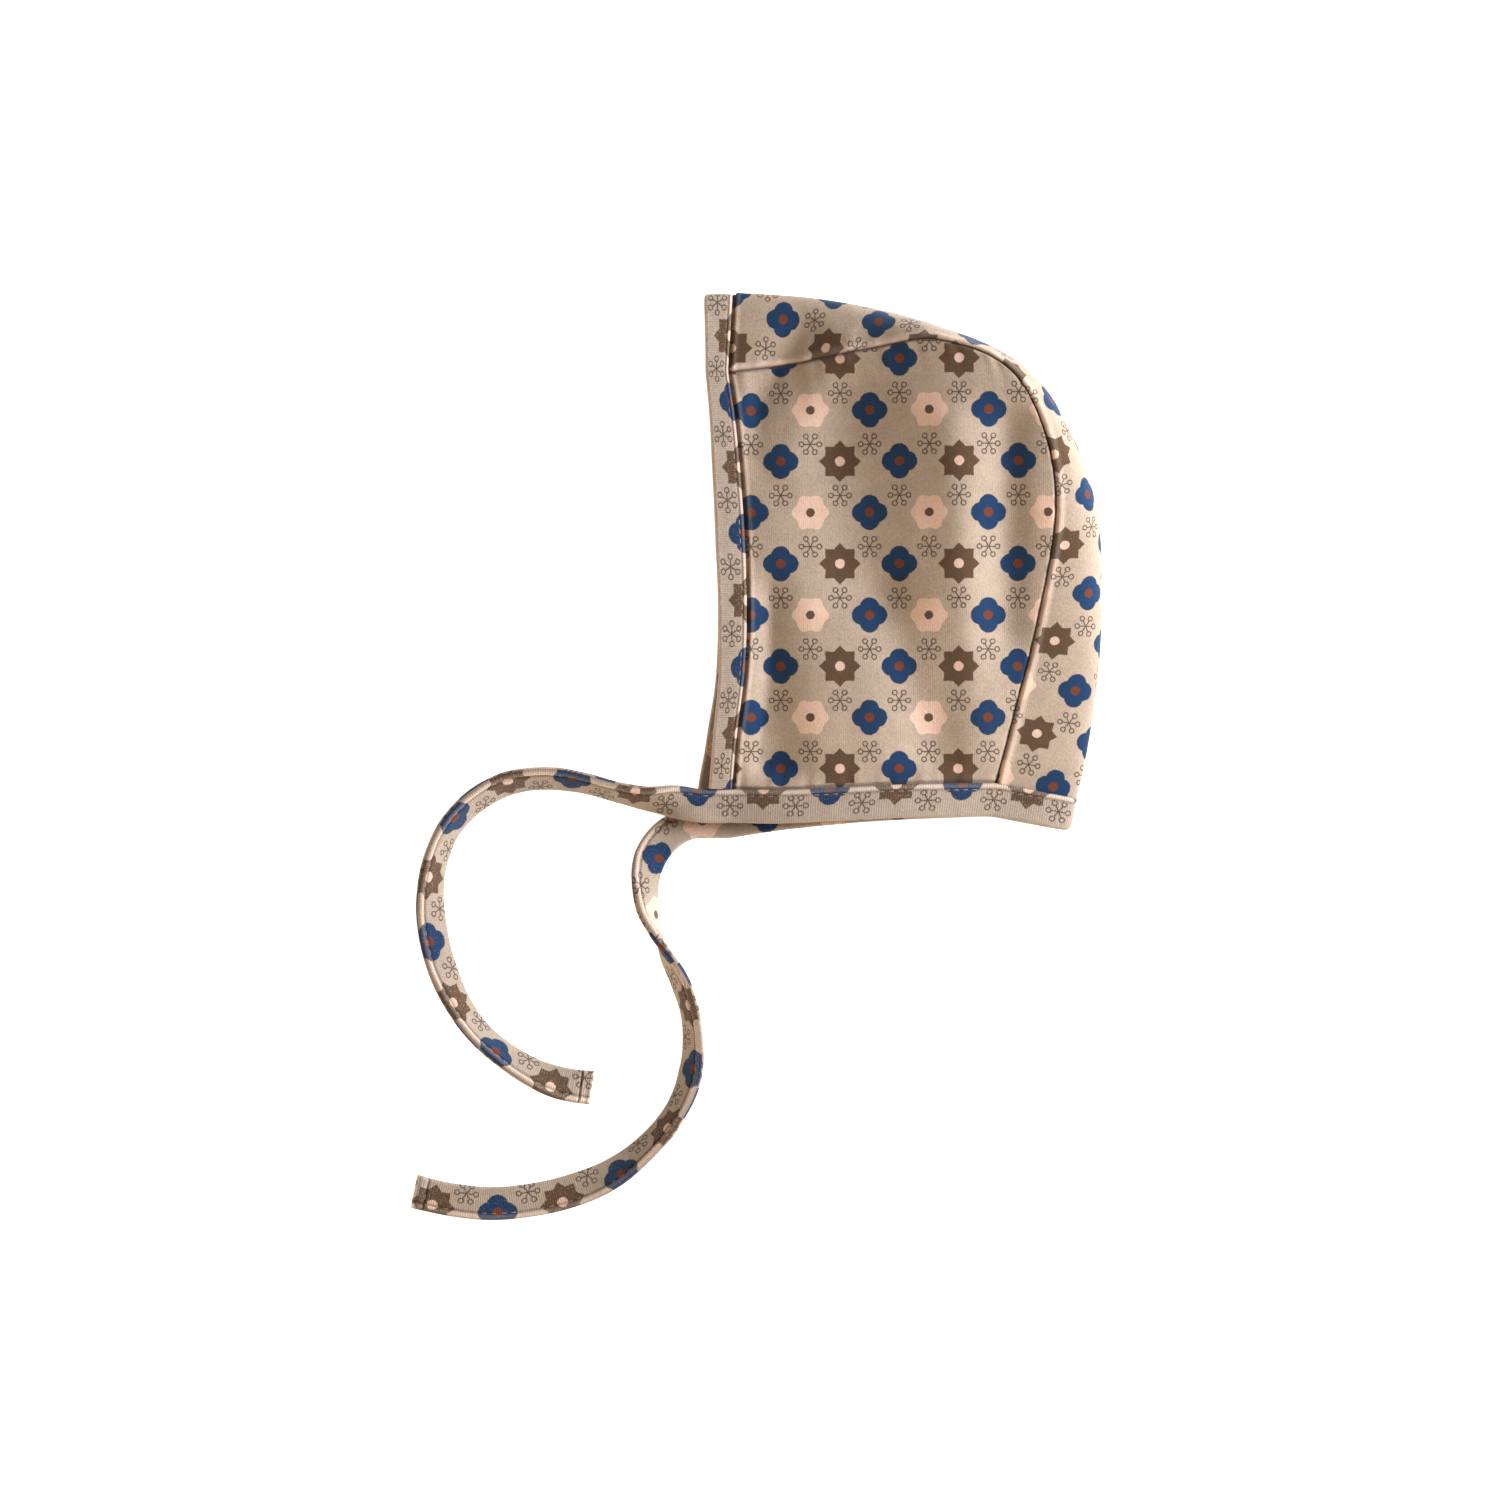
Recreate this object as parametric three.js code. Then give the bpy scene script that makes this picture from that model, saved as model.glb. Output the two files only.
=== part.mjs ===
// Baby bonnet of printed cotton knit, lying on its side. Millimetres, +Z up.
//
// The cloth is soft, so the bonnet rests as a low hollow form that is folded along its middle. A near
// panel lies on top, a far panel on the surface, and a gusset joins them from the brow over the crown
// and down the back. A band binds the face edge, another binds the neck, and the neck band runs on
// into two ties. +X points from the face to the back of the head, +Y from the neck to the crown.
// The origin is on the surface, under the middle of the bonnet.

import * as THREE from 'three';

// Whole form
const BONNET_WIDTH = 140; // face edge to the back of the crown
const BONNET_HEIGHT = 191; // brow fold to the lower edge of the neck band

// Clear height between the two layers of cloth
const CROWN_GAPE = 28.5; // at the back of the crown
const FACE_GAPE = 9.5; // half-way up the face opening
const NECK_GAPE = 7; // half-way along the neck opening
const CORNER_GAPE = 2.8; // where the bands are folded flat

// Cloth and bands
const CLOTH_THICKNESS = 1.6;
const BAND_THICKNESS = 2.8;
const BAND_PROUD = 0.5; // how far a band's outside stands above the cloth beside it
const BAND_RISE = 0.1; // rise of a free band edge for each millimetre of its width
const GUSSET_WIDTH = 54;
const FACE_BAND_WIDTH = 11.5;
const NECK_BAND_WIDTH = 12;
const NAPE_LEAN = 0.2; // how far the neck band leans in at the nape, for each millimetre of its width
const TIE_WIDTH = 11.7;
const TIE_THICKNESS = 2.6;
const SEAM_GAP = 0.3; // between two pieces that are sewn together

// Shape of a fold's section, from 1 for an ellipse to 0 for a square corner
const FOLD_ROUNDNESS = 0.85;
const EDGE_ROUNDNESS = 0.42; // radius of a band's edge, as a share of its thickness

// Mesh steps
const PANEL_COLUMNS = 24;
const PANEL_ROWS = 28;
const FLAT_COLUMNS = 14;
const FLAT_ROWS = 18;
const GUSSET_STEPS = 50;
const FOLD_STEPS = 12;
const NEAR_STEPS = 18;
const FAR_STEPS = 12;
const TIE_STEPS = 52;

// Sections of the gusset, from the brow round the crown to the neck. The fold is the outline seen from
// above: across and up are shares of the bonnet's width and height from its middle. nearTuck and farTuck
// are the distances from the fold to each seam, as shares of the gusset's width. gape is a share of the
// way from the gape of a corner to that of the crown.
const GUSSET_SECTIONS = [
  { across: -0.4115, up: 0.4985, nearTuck: 0.519, farTuck: 0.519, gape: 0 },
  { across: -0.2225, up: 0.49, nearTuck: 0.43, farTuck: 0.5, gape: 0.2 },
  { across: -0.0525, up: 0.467, nearTuck: 0.268, farTuck: 0.52, gape: 0.5 },
  { across: 0.0975, up: 0.4365, nearTuck: 0.1, farTuck: 0.53, gape: 0.82 },
  { across: 0.2355, up: 0.3965, nearTuck: 0.07, farTuck: 0.53, gape: 0.97 },
  { across: 0.3405, up: 0.343, nearTuck: 0.112, farTuck: 0.52, gape: 1 },
  { across: 0.4245, up: 0.2455, nearTuck: 0.163, farTuck: 0.51, gape: 0.97 },
  { across: 0.4925, up: 0.1026, nearTuck: 0.272, farTuck: 0.5, gape: 0.82 },
  { across: 0.5055, up: -0.1173, nearTuck: 0.42, farTuck: 0.5, gape: 0.5 },
  { across: 0.4825, up: -0.293, nearTuck: 0.508, farTuck: 0.52, gape: 0.22 },
  { across: 0.4475, up: -0.428, nearTuck: 0.535, farTuck: 0.535, gape: 0 },
];
// Share of the way along the gusset where each side panel turns from its top edge to its back edge
const CROWN_TURN = 0.47;

// Corner of each side panel between the face and the neck, as shares of the width and height
const NEAR_CORNER = { across: -0.4135, up: -0.4115 };
const FAR_CORNER = { across: -0.4205, up: -0.44 };

// Seam between the face band and each side panel, from the neck up. up is a share of the height, near
// and far are shares of the width, and gape is a share of the way from a corner's gape to the face's.
const FACE_SEAM = [
  { up: -0.32, near: -0.4025, far: -0.4115, gape: 0.55 },
  { up: -0.18, near: -0.38, far: -0.3875, gape: 1 },
  { up: 0, near: -0.3785, far: -0.3825, gape: 1 },
  { up: 0.16, near: -0.392, far: -0.3925, gape: 0.75 },
  { up: 0.27, near: -0.4065, far: -0.4065, gape: 0.35 },
];
// Seam between the neck band and each side panel, from the face to the gusset. across is a share of the
// width, near and far are shares of the height, and gape is a share of the way to the neck's gape.
const NECK_SEAM = [
  { across: -0.3, near: -0.4125, far: -0.4265, gape: 0.65 },
  { across: -0.12, near: -0.407, far: -0.413, gape: 1 },
  { across: 0.01, near: -0.4025, far: -0.4065, gape: 0.9 },
];

// Soft folds of the near panel: a ridge down the back, hollows below the crown, by the gusset's seam and
// by the face, and a pleat at the brow. Starts and ends are shares of the width and height, halfWidth is
// a share of the width, and rise is a share of the crown's gape, less than 0 for a hollow.
const PANEL_FOLDS = [
  { from: [0.1225, 0.24], to: [0.2075, -0.42], halfWidth: 0.062, rise: 0.11 },
  { from: [-0.1225, 0.25], to: [0.0075, -0.1], halfWidth: 0.1, rise: -0.11 },
  { from: [0.2775, 0.22], to: [0.2675, -0.08], halfWidth: 0.04, rise: -0.08 },
  { from: [-0.3325, -0.06], to: [-0.3225, -0.42], halfWidth: 0.05, rise: -0.07 },
  { from: [-0.1725, 0.4], to: [-0.2725, 0.22], halfWidth: 0.035, rise: 0.05 },
];
const FOLD_FADE = 0.16; // share of a panel over which its folds fade out towards a seam

// Routes of the ties, from where each leaves its end of the neck band. left and down are measured from
// there, lift is the height over where the tie would lie, and roll turns it about its own length in
// degrees: its outer edge rises as roll falls below 0, and at -180 the tie lies on its other face.
const NEAR_TIE_ROUTE = [
  { left: 4.2, down: -0.7, lift: 5.8, roll: -6 },
  { left: 11.2, down: -1.8, lift: 3.3, roll: -26 },
  { left: 18.2, down: -2.4, lift: 0.9, roll: -50 },
  { left: 28.7, down: -4.6, lift: 0, roll: -60 },
  { left: 39.2, down: -7.5, lift: 0, roll: -60 },
  { left: 49.7, down: -9.4, lift: 0, roll: -55 },
  { left: 60.2, down: -9.3, lift: 0, roll: -54 },
  { left: 70.4, down: -6.8, lift: 0, roll: -50 },
  { left: 80.5, down: -0.5, lift: 0, roll: -51 },
  { left: 88.7, down: 8.8, lift: 0, roll: -53 },
  { left: 93.5, down: 21, lift: 0, roll: -49 },
  { left: 94.9, down: 32.9, lift: 0, roll: -40 },
  { left: 93.8, down: 45.1, lift: 0, roll: -32 },
  { left: 90.7, down: 57.1, lift: 0, roll: -34 },
  { left: 85.4, down: 68.8, lift: 0, roll: -44 },
  { left: 78.4, down: 78.8, lift: 0, roll: -50 },
  { left: 68.8, down: 87.3, lift: 0, roll: -47 },
  { left: 58.6, down: 93.6, lift: 0, roll: -36 },
  { left: 49.4, down: 97.2, lift: 0, roll: -14 },
  { left: 38, down: 99.1, lift: 0, roll: 0 },
];
const FAR_TIE_ROUTE = [
  { left: 3.2, down: 0.7, lift: 0, roll: 0 },
  { left: 7.4, down: 2.5, lift: 0, roll: 0 },
  { left: 12.1, down: 5.9, lift: 0, roll: 0 },
  { left: 15.9, down: 10.9, lift: 0, roll: -8 },
  { left: 18, down: 17.2, lift: 0, roll: -28 },
  { left: 18.4, down: 24.2, lift: 0, roll: -46 },
  { left: 17.5, down: 31.2, lift: 0, roll: -57 },
  { left: 14.7, down: 39, lift: 0, roll: -78 },
  { left: 11, down: 47.3, lift: 0, roll: -104 },
  { left: 6.7, down: 55.7, lift: 0, roll: -116 },
  { left: 3.2, down: 65.6, lift: 0, roll: -116 },
  { left: 1.8, down: 76, lift: 0, roll: -120 },
  { left: 2.3, down: 86.3, lift: 0, roll: -127 },
  { left: 5, down: 96, lift: 0, roll: -127 },
  { left: 10.9, down: 106.3, lift: 0, roll: -127 },
  { left: 19.4, down: 115.6, lift: 0, roll: -133 },
  { left: 30.9, down: 124.1, lift: 0, roll: -150 },
  { left: 45, down: 129.9, lift: 0, roll: -172 },
  { left: 58.8, down: 133, lift: 0, roll: -180 },
  { left: 72.5, down: 134.2, lift: 0, roll: -180 },
  { left: 86.1, down: 132.9, lift: 0, roll: -180 },
  { left: 99.8, down: 130, lift: 0, roll: -180 },
];

const UP = new THREE.Vector3(0, 0, 1);
const TOWARDS_FACE = new THREE.Vector3(-1, 0, 0);

// Height of the near layer's outside over the surface, for a clear height between the layers
function loft(gape) {
  return gape + 2 * BAND_THICKNESS;
}

function smooth(share) {
  return THREE.MathUtils.smoothstep(share, 0, 1);
}

// A point of the near layer: gape is the share of the way from a corner's gape to the open one
function nearPoint(across, up, gape, openGape) {
  const height = loft(THREE.MathUtils.lerp(CORNER_GAPE, openGape, gape));
  return new THREE.Vector3(across * BONNET_WIDTH, up * BONNET_HEIGHT, height);
}

function farPoint(across, up) {
  return new THREE.Vector3(across * BONNET_WIDTH, up * BONNET_HEIGHT, 0);
}

// Gusset

const foldCurve = new THREE.CatmullRomCurve3(
  GUSSET_SECTIONS.map((section) => nearPoint(section.across, section.up, section.gape, CROWN_GAPE)),
);
const tuckCurve = new THREE.CatmullRomCurve3(GUSSET_SECTIONS.map((section) => new THREE.Vector3(
  section.nearTuck * GUSSET_WIDTH,
  section.farTuck * GUSSET_WIDTH,
  0,
)));

// The section of the gusset at a share of its length: the fold and both seams in plan, and the loft
function gussetSection(along) {
  const fold = foldCurve.getPoint(along);
  const tucks = tuckCurve.getPoint(along);
  const outward = foldCurve.getTangent(along).setZ(0).normalize().cross(UP).negate();
  const flatFold = fold.clone().setZ(0);
  return {
    fold: flatFold,
    outward,
    near: flatFold.clone().addScaledVector(outward, -tucks.x),
    far: flatFold.clone().addScaledVector(outward, -tucks.y),
    loft: fold.z,
  };
}

// A point of the gusset: turn goes from 0 at the near seam to 1 at the far seam, and depth is measured
// inwards from the outside of the cloth
function gussetPoint(along, turn, depth, seamClearance) {
  const section = gussetSection(along);
  const angle = turn * Math.PI;
  const out = Math.sin(angle) ** FOLD_ROUNDNESS;
  const rise = Math.abs(Math.cos(angle)) ** FOLD_ROUNDNESS;
  const onNearSide = turn < 0.5;
  const seam = (onNearSide ? section.near : section.far).clone();
  seam.addScaledVector(section.outward, seamClearance);
  const fold = section.fold.clone().addScaledVector(section.outward, -depth);
  const point = seam.lerp(fold, out);
  const middle = section.loft / 2;
  const lift = rise * (middle - depth);
  point.z = onNearSide ? middle + lift : middle - lift;
  return point;
}

function nearSeam(along) {
  const section = gussetSection(along);
  return section.near.setZ(section.loft);
}

function farSeam(along) {
  return gussetSection(along).far;
}

// Seams of the side panels

const nearCorner = nearPoint(NEAR_CORNER.across, NEAR_CORNER.up, 0, FACE_GAPE);
const farCorner = farPoint(FAR_CORNER.across, FAR_CORNER.up);

const nearFaceSeam = new THREE.CatmullRomCurve3([
  nearCorner,
  ...FACE_SEAM.map((row) => nearPoint(row.near, row.up, row.gape, FACE_GAPE)),
  nearSeam(0),
]);
const farFaceSeam = new THREE.CatmullRomCurve3([
  farCorner,
  ...FACE_SEAM.map((row) => farPoint(row.far, row.up)),
  farSeam(0),
]);
const nearNeckSeam = new THREE.CatmullRomCurve3([
  nearCorner,
  ...NECK_SEAM.map((row) => nearPoint(row.across, row.near, row.gape, NECK_GAPE)),
  nearSeam(1),
]);
const farNeckSeam = new THREE.CatmullRomCurve3([
  farCorner,
  ...NECK_SEAM.map((row) => farPoint(row.across, row.far)),
  farSeam(1),
]);

// A patch that fills four seams. u runs from the face to the back and v from the neck to the crown.
function patchPoint(faceSeam, neckSeam, gussetSeam, u, v) {
  const bottom = neckSeam.getPointAt(u);
  const left = faceSeam.getPointAt(v);
  const top = gussetSeam(CROWN_TURN * u);
  const right = gussetSeam(1 - (1 - CROWN_TURN) * v);
  const corners = [
    [neckSeam.getPointAt(0), (1 - u) * (1 - v)],
    [neckSeam.getPointAt(1), u * (1 - v)],
    [gussetSeam(0), (1 - u) * v],
    [gussetSeam(CROWN_TURN), u * v],
  ];
  const point = bottom.multiplyScalar(1 - v)
    .addScaledVector(top, v)
    .addScaledVector(left, 1 - u)
    .addScaledVector(right, u);
  corners.forEach(([corner, weight]) => point.addScaledVector(corner, -weight));
  return point;
}

// Draws a panel in from its seams by half the seam gap, towards the middle of the bonnet
function insetFromSeams(point) {
  const shorterHalf = Math.min(BONNET_WIDTH, BONNET_HEIGHT) / 2 - GUSSET_WIDTH / 2;
  const scale = 1 - SEAM_GAP / 2 / shorterHalf;
  point.x *= scale;
  point.y *= scale;
  return point;
}

// Height that the soft folds add to the near panel
function foldRise(x, y) {
  const place = new THREE.Vector2(x / BONNET_WIDTH, y / BONNET_HEIGHT);
  const aspect = BONNET_HEIGHT / BONNET_WIDTH;
  return PANEL_FOLDS.reduce((total, fold) => {
    const start = new THREE.Vector2(...fold.from);
    const line = new THREE.Vector2(...fold.to).sub(start);
    const share = THREE.MathUtils.clamp(place.clone().sub(start).dot(line) / line.lengthSq(), 0, 1);
    const away = place.clone().sub(start.addScaledVector(line, share));
    const distance = Math.hypot(away.x, away.y * aspect) / fold.halfWidth;
    return total + fold.rise * CROWN_GAPE * Math.exp(-distance * distance);
  }, 0);
}

// 0 on a seam and 1 well inside a panel
function insideSeams(u, v) {
  return smooth(Math.min(u, 1 - u) / FOLD_FADE) * smooth(Math.min(v, 1 - v) / FOLD_FADE);
}

// Shapes

// A closed wall: a box whose points are placed by a function of their shares u, v and outwards
function shellGeometry(columns, rows, place) {
  const geometry = new THREE.BoxGeometry(1, 1, 1, columns, rows, 1);
  const position = geometry.attributes.position;
  for (let i = 0; i < position.count; i += 1) {
    const point = place(position.getX(i) + 0.5, position.getY(i) + 0.5, position.getZ(i) + 0.5);
    position.setXYZ(i, point.x, point.y, point.z);
  }
  geometry.computeVertexNormals();
  return geometry;
}

// A strip of cloth, extruded straight and then laid along stations. The section's x follows each
// station's across, and its y each station's out.
function stripGeometry(section, stations) {
  const steps = stations.length - 1;
  const straight = { depth: 1, steps, bevelEnabled: false, curveSegments: 1 };
  const geometry = new THREE.ExtrudeGeometry(section, straight);
  const position = geometry.attributes.position;
  for (let i = 0; i < position.count; i += 1) {
    const station = stations[Math.round(position.getZ(i) * steps)];
    const point = station.point.clone()
      .addScaledVector(station.across, position.getX(i))
      .addScaledVector(station.out, position.getY(i));
    position.setXYZ(i, point.x, point.y, point.z);
  }
  geometry.computeVertexNormals();
  return geometry;
}

// A flat section with rounded edges, from left to right and from bottom to top
function stripSection(left, right, bottom, top) {
  const radius = (top - bottom) * EDGE_ROUNDNESS;
  const shape = new THREE.Shape();
  shape.absarc(right - radius, bottom + radius, radius, -Math.PI / 2, 0);
  shape.absarc(right - radius, top - radius, radius, 0, Math.PI / 2);
  shape.absarc(left + radius, top - radius, radius, Math.PI / 2, Math.PI);
  shape.absarc(left + radius, bottom + radius, radius, Math.PI, 1.5 * Math.PI);
  shape.closePath();
  return shape;
}

// Stations of a band along its seam. freeWay gives the direction to the band's free edge at a point.
function bandStations(seam, freeWay) {
  return seam.map((point, i) => {
    const free = freeWay(point);
    const before = seam[Math.max(i - 1, 0)];
    const after = seam[Math.min(i + 1, seam.length - 1)];
    const tangent = after.clone().sub(before).normalize();
    const flatOut = tangent.clone().cross(free).normalize();
    const nearness = (1 + flatOut.z) / 2;
    const across = free.clone().setZ(BAND_RISE * nearness);
    const out = tangent.cross(across).normalize();
    return { point: point.clone().addScaledVector(out, BAND_PROUD * nearness), across, out };
  });
}

function bandSection(width) {
  return stripSection(SEAM_GAP / 2, width, -BAND_THICKNESS, 0);
}

function shares(steps) {
  return Array.from({ length: steps + 1 }, (_, i) => i / steps);
}

// Bands

// The face band's seam runs up the near side, round the brow fold and down the far side
function faceBandSeam() {
  const nearSide = shares(NEAR_STEPS).map((share) => nearFaceSeam.getPointAt(share));
  const brow = shares(FOLD_STEPS).map((turn) => gussetPoint(0, turn, 0, 0));
  const farSide = shares(FAR_STEPS).map((share) => farFaceSeam.getPointAt(1 - share));
  nearSide[0].y += SEAM_GAP / 2;
  farSide[FAR_STEPS].y += SEAM_GAP / 2;
  return [...nearSide, ...brow.slice(1, -1), ...farSide];
}

// The neck band's seam runs along the far side, round the fold at the nape and back along the near
// side. Both ends run on past the side panels, under the ends of the face band.
function neckBandSeam() {
  const farSide = shares(FAR_STEPS).map((share) => farNeckSeam.getPointAt(share));
  const nape = shares(FOLD_STEPS).map((share) => gussetPoint(1, 1 - share, 0, 0));
  const nearSide = shares(NEAR_STEPS).map((share) => nearNeckSeam.getPointAt(1 - share));
  const farEnd = farCorner.clone().addScaledVector(TOWARDS_FACE, FACE_BAND_WIDTH);
  const nearEnd = nearCorner.clone().addScaledVector(TOWARDS_FACE, FACE_BAND_WIDTH);
  nearEnd.z += BAND_RISE * FACE_BAND_WIDTH;
  return [
    farEnd,
    farEnd.clone().lerp(farCorner, 0.5),
    ...farSide,
    ...nape.slice(1, -1),
    ...nearSide,
    nearCorner.clone().lerp(nearEnd, 0.5),
    nearEnd,
  ];
}

// The neck band hangs straight at the face and follows the slant of the fold at the nape
function neckBandWay(point) {
  const share = THREE.MathUtils.clamp(point.x / BONNET_WIDTH + 0.5, 0, 1);
  return new THREE.Vector3(-NAPE_LEAN * share, -1, 0);
}

const faceBandStations = bandStations(faceBandSeam(), () => TOWARDS_FACE);
const neckBandStations = bandStations(neckBandSeam(), neckBandWay);

// Ties

// Middle of a band's end face, where a tie leaves it
function bandEnd(station) {
  return station.point.clone()
    .addScaledVector(station.across, NECK_BAND_WIDTH / 2)
    .addScaledVector(station.out, -BAND_THICKNESS / 2);
}

// Height of a tie's middle when it rests on the surface at a roll
function restHeight(roll) {
  return Math.abs(Math.sin(roll)) * TIE_WIDTH / 2 + Math.abs(Math.cos(roll)) * TIE_THICKNESS / 2;
}

function tieStations(exit, route) {
  const start = exit.clone().addScaledVector(TOWARDS_FACE, SEAM_GAP);
  const path = new THREE.CatmullRomCurve3([
    start,
    ...route.map((row) => new THREE.Vector3(exit.x - row.left, exit.y - row.down, 0)),
  ]);
  const pose = new THREE.CatmullRomCurve3([
    new THREE.Vector3(exit.z - restHeight(0), 0, 0),
    ...route.map((row) => new THREE.Vector3(row.lift, THREE.MathUtils.degToRad(row.roll), 0)),
  ]);
  return shares(TIE_STEPS).map((share) => {
    const { x: lift, y: roll } = pose.getPoint(share);
    const point = path.getPoint(share);
    point.z = Math.max(lift, 0) + restHeight(roll);
    const tangent = share === 0 ? TOWARDS_FACE : path.getTangent(share).setZ(0).normalize();
    const side = UP.clone().cross(tangent);
    const across = side.clone().multiplyScalar(Math.cos(roll)).addScaledVector(UP, Math.sin(roll));
    const out = UP.clone().multiplyScalar(Math.cos(roll)).addScaledVector(side, -Math.sin(roll));
    return { point, across, out };
  });
}

function tieSection() {
  return stripSection(-TIE_WIDTH / 2, TIE_WIDTH / 2, -TIE_THICKNESS / 2, TIE_THICKNESS / 2);
}

// Pieces

const bonnet = new THREE.Group();
bonnet.name = 'baby_bonnet';

function cloth(color) {
  return new THREE.MeshStandardMaterial({ color, roughness: 0.92, metalness: 0 });
}

function addPiece(name, geometry, color) {
  const piece = new THREE.Mesh(geometry, cloth(color));
  piece.name = name;
  bonnet.add(piece);
}

addPiece('near_side_panel', shellGeometry(PANEL_COLUMNS, PANEL_ROWS, (u, v, outwards) => {
  const point = patchPoint(nearFaceSeam, nearNeckSeam, nearSeam, u, v);
  point.z += foldRise(point.x, point.y) * insideSeams(u, v);
  point.z -= (1 - outwards) * CLOTH_THICKNESS;
  return insetFromSeams(point);
}), 0xb4a08f);

addPiece('far_side_panel', shellGeometry(FLAT_COLUMNS, FLAT_ROWS, (u, v, inwards) => {
  const point = patchPoint(farFaceSeam, farNeckSeam, farSeam, u, v);
  point.z = inwards * CLOTH_THICKNESS;
  return insetFromSeams(point);
}), 0xae9a89);

addPiece('crown_gusset', shellGeometry(GUSSET_STEPS, FOLD_STEPS, (along, turn, outwards) => {
  const point = gussetPoint(along, turn, (1 - outwards) * CLOTH_THICKNESS, SEAM_GAP / 2);
  if (along === 0) point.x += SEAM_GAP / 2;
  if (along === 1) point.y += SEAM_GAP / 2;
  return point;
}), 0xc0ac99);

addPiece('face_band', stripGeometry(bandSection(FACE_BAND_WIDTH), faceBandStations), 0xc6b3a1);
addPiece('neck_band', stripGeometry(bandSection(NECK_BAND_WIDTH), neckBandStations), 0xc6b3a1);

const nearTie = tieStations(bandEnd(neckBandStations[neckBandStations.length - 1]), NEAR_TIE_ROUTE);
const farTie = tieStations(bandEnd(neckBandStations[0]), FAR_TIE_ROUTE);
addPiece('near_tie', stripGeometry(tieSection(), nearTie), 0xb9a594);
addPiece('far_tie', stripGeometry(tieSection(), farTie), 0xb9a594);

export default bonnet;
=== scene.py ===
"""The looks of a baby bonnet of printed cotton knit that lies on its side.

Every size is in metres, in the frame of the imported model: +X points from the face to the back of the
head, +Y from the neck to the crown and +Z up from the surface. The bonnet is a near panel on top, a far
panel on the surface, a gusset folded between them, a bound face edge, and a bound neck edge whose
binding runs on into two ties. Each piece of cloth is laid out from the seams that it is sewn along.
"""

import logging
import math
from collections.abc import Callable, Sequence
from dataclasses import dataclass, field, replace
from enum import Enum
from functools import partialmethod

import bpy
import numpy as np
from mathutils import Matrix, Vector, noise

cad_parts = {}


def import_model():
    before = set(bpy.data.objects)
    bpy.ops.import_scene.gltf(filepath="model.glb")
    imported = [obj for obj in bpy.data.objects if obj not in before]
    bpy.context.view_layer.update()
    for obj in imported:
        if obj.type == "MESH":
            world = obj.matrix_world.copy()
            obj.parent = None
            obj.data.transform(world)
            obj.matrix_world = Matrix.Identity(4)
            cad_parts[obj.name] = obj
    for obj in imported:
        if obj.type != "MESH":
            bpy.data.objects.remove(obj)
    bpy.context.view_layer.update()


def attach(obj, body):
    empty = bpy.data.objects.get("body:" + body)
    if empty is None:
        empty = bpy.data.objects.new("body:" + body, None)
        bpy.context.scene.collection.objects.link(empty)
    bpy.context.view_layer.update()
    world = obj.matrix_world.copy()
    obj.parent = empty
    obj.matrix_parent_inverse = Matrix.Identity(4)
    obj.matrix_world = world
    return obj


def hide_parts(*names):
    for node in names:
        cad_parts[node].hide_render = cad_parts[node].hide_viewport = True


LOG = logging.getLogger("bonnet")
MM = 0.001
FLOOR_CLEARANCE = 0.05 * MM
BODY = "root"

Points = np.ndarray
Number = "Wire | float"


def shares(steps: int) -> np.ndarray:
    """Even shares from 0 to 1."""
    return np.linspace(0.0, 1.0, steps + 1)


def unit(vectors: Points) -> Points:
    """Vectors of length 1."""
    return vectors / np.linalg.norm(vectors, axis=-1, keepdims=True)


def crowded(steps: int, crowding: float = 0.09) -> np.ndarray:
    """Shares from 0 to 1 that lie closer together at both ends."""
    even = shares(steps)
    return even - crowding * np.sin(math.tau * even)


def evened(rows: np.ndarray, passes: int) -> np.ndarray:
    """Rows that are smoothed some times, with the first and the last kept.

    Args:
        rows: The rows.
        passes: How many times they are smoothed.

    Returns:
        The smoothed rows.
    """
    rows = rows.copy()
    for _ in range(passes):
        rows[1:-1] = (rows[:-2] + 2.0 * rows[1:-1] + rows[2:]) / 4.0
    return rows


def interpolated(wanted: np.ndarray, places: np.ndarray, rows: np.ndarray) -> np.ndarray:
    """Rows at wanted places, between rows at known places."""
    return np.column_stack([np.interp(wanted, places, column) for column in rows.T])


def mixed(low: np.ndarray | float, high: np.ndarray | float, share: np.ndarray | float) -> np.ndarray:
    """A value a share of the way from low to high."""
    return low + (high - low) * share


def smooth(share: np.ndarray) -> np.ndarray:
    """An eased share, flat at 0 and at 1."""
    share = np.clip(share, 0.0, 1.0)
    return share * share * (3.0 - 2.0 * share)


def bell(distance: np.ndarray, half_width: float) -> np.ndarray:
    """1 at no distance, falling away softly over a half width."""
    return np.exp(-((distance / half_width) ** 2))


def travelled(points: Points, axis: int = 0) -> np.ndarray:
    """Distance travelled along rows of points.

    Args:
        points: An array whose last axis holds x, y and z.
        axis: The axis along which the points follow each other.

    Returns:
        The distance at each point, 0 at the first.
    """
    steps = np.linalg.norm(np.diff(points, axis=axis), axis=-1)
    start = np.zeros_like(np.take(steps, [0], axis=axis))
    return np.concatenate([start, np.cumsum(steps, axis=axis)], axis=axis)


@dataclass(frozen=True)
class Overtone:
    """A wave that is added to a main one, its pace and height counted in the main one's."""

    pace: float
    start: float
    height: float


SLOW, FAST = Overtone(0.61, 1.3, 0.6), Overtone(1.57, 2.1, 0.5)


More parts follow.
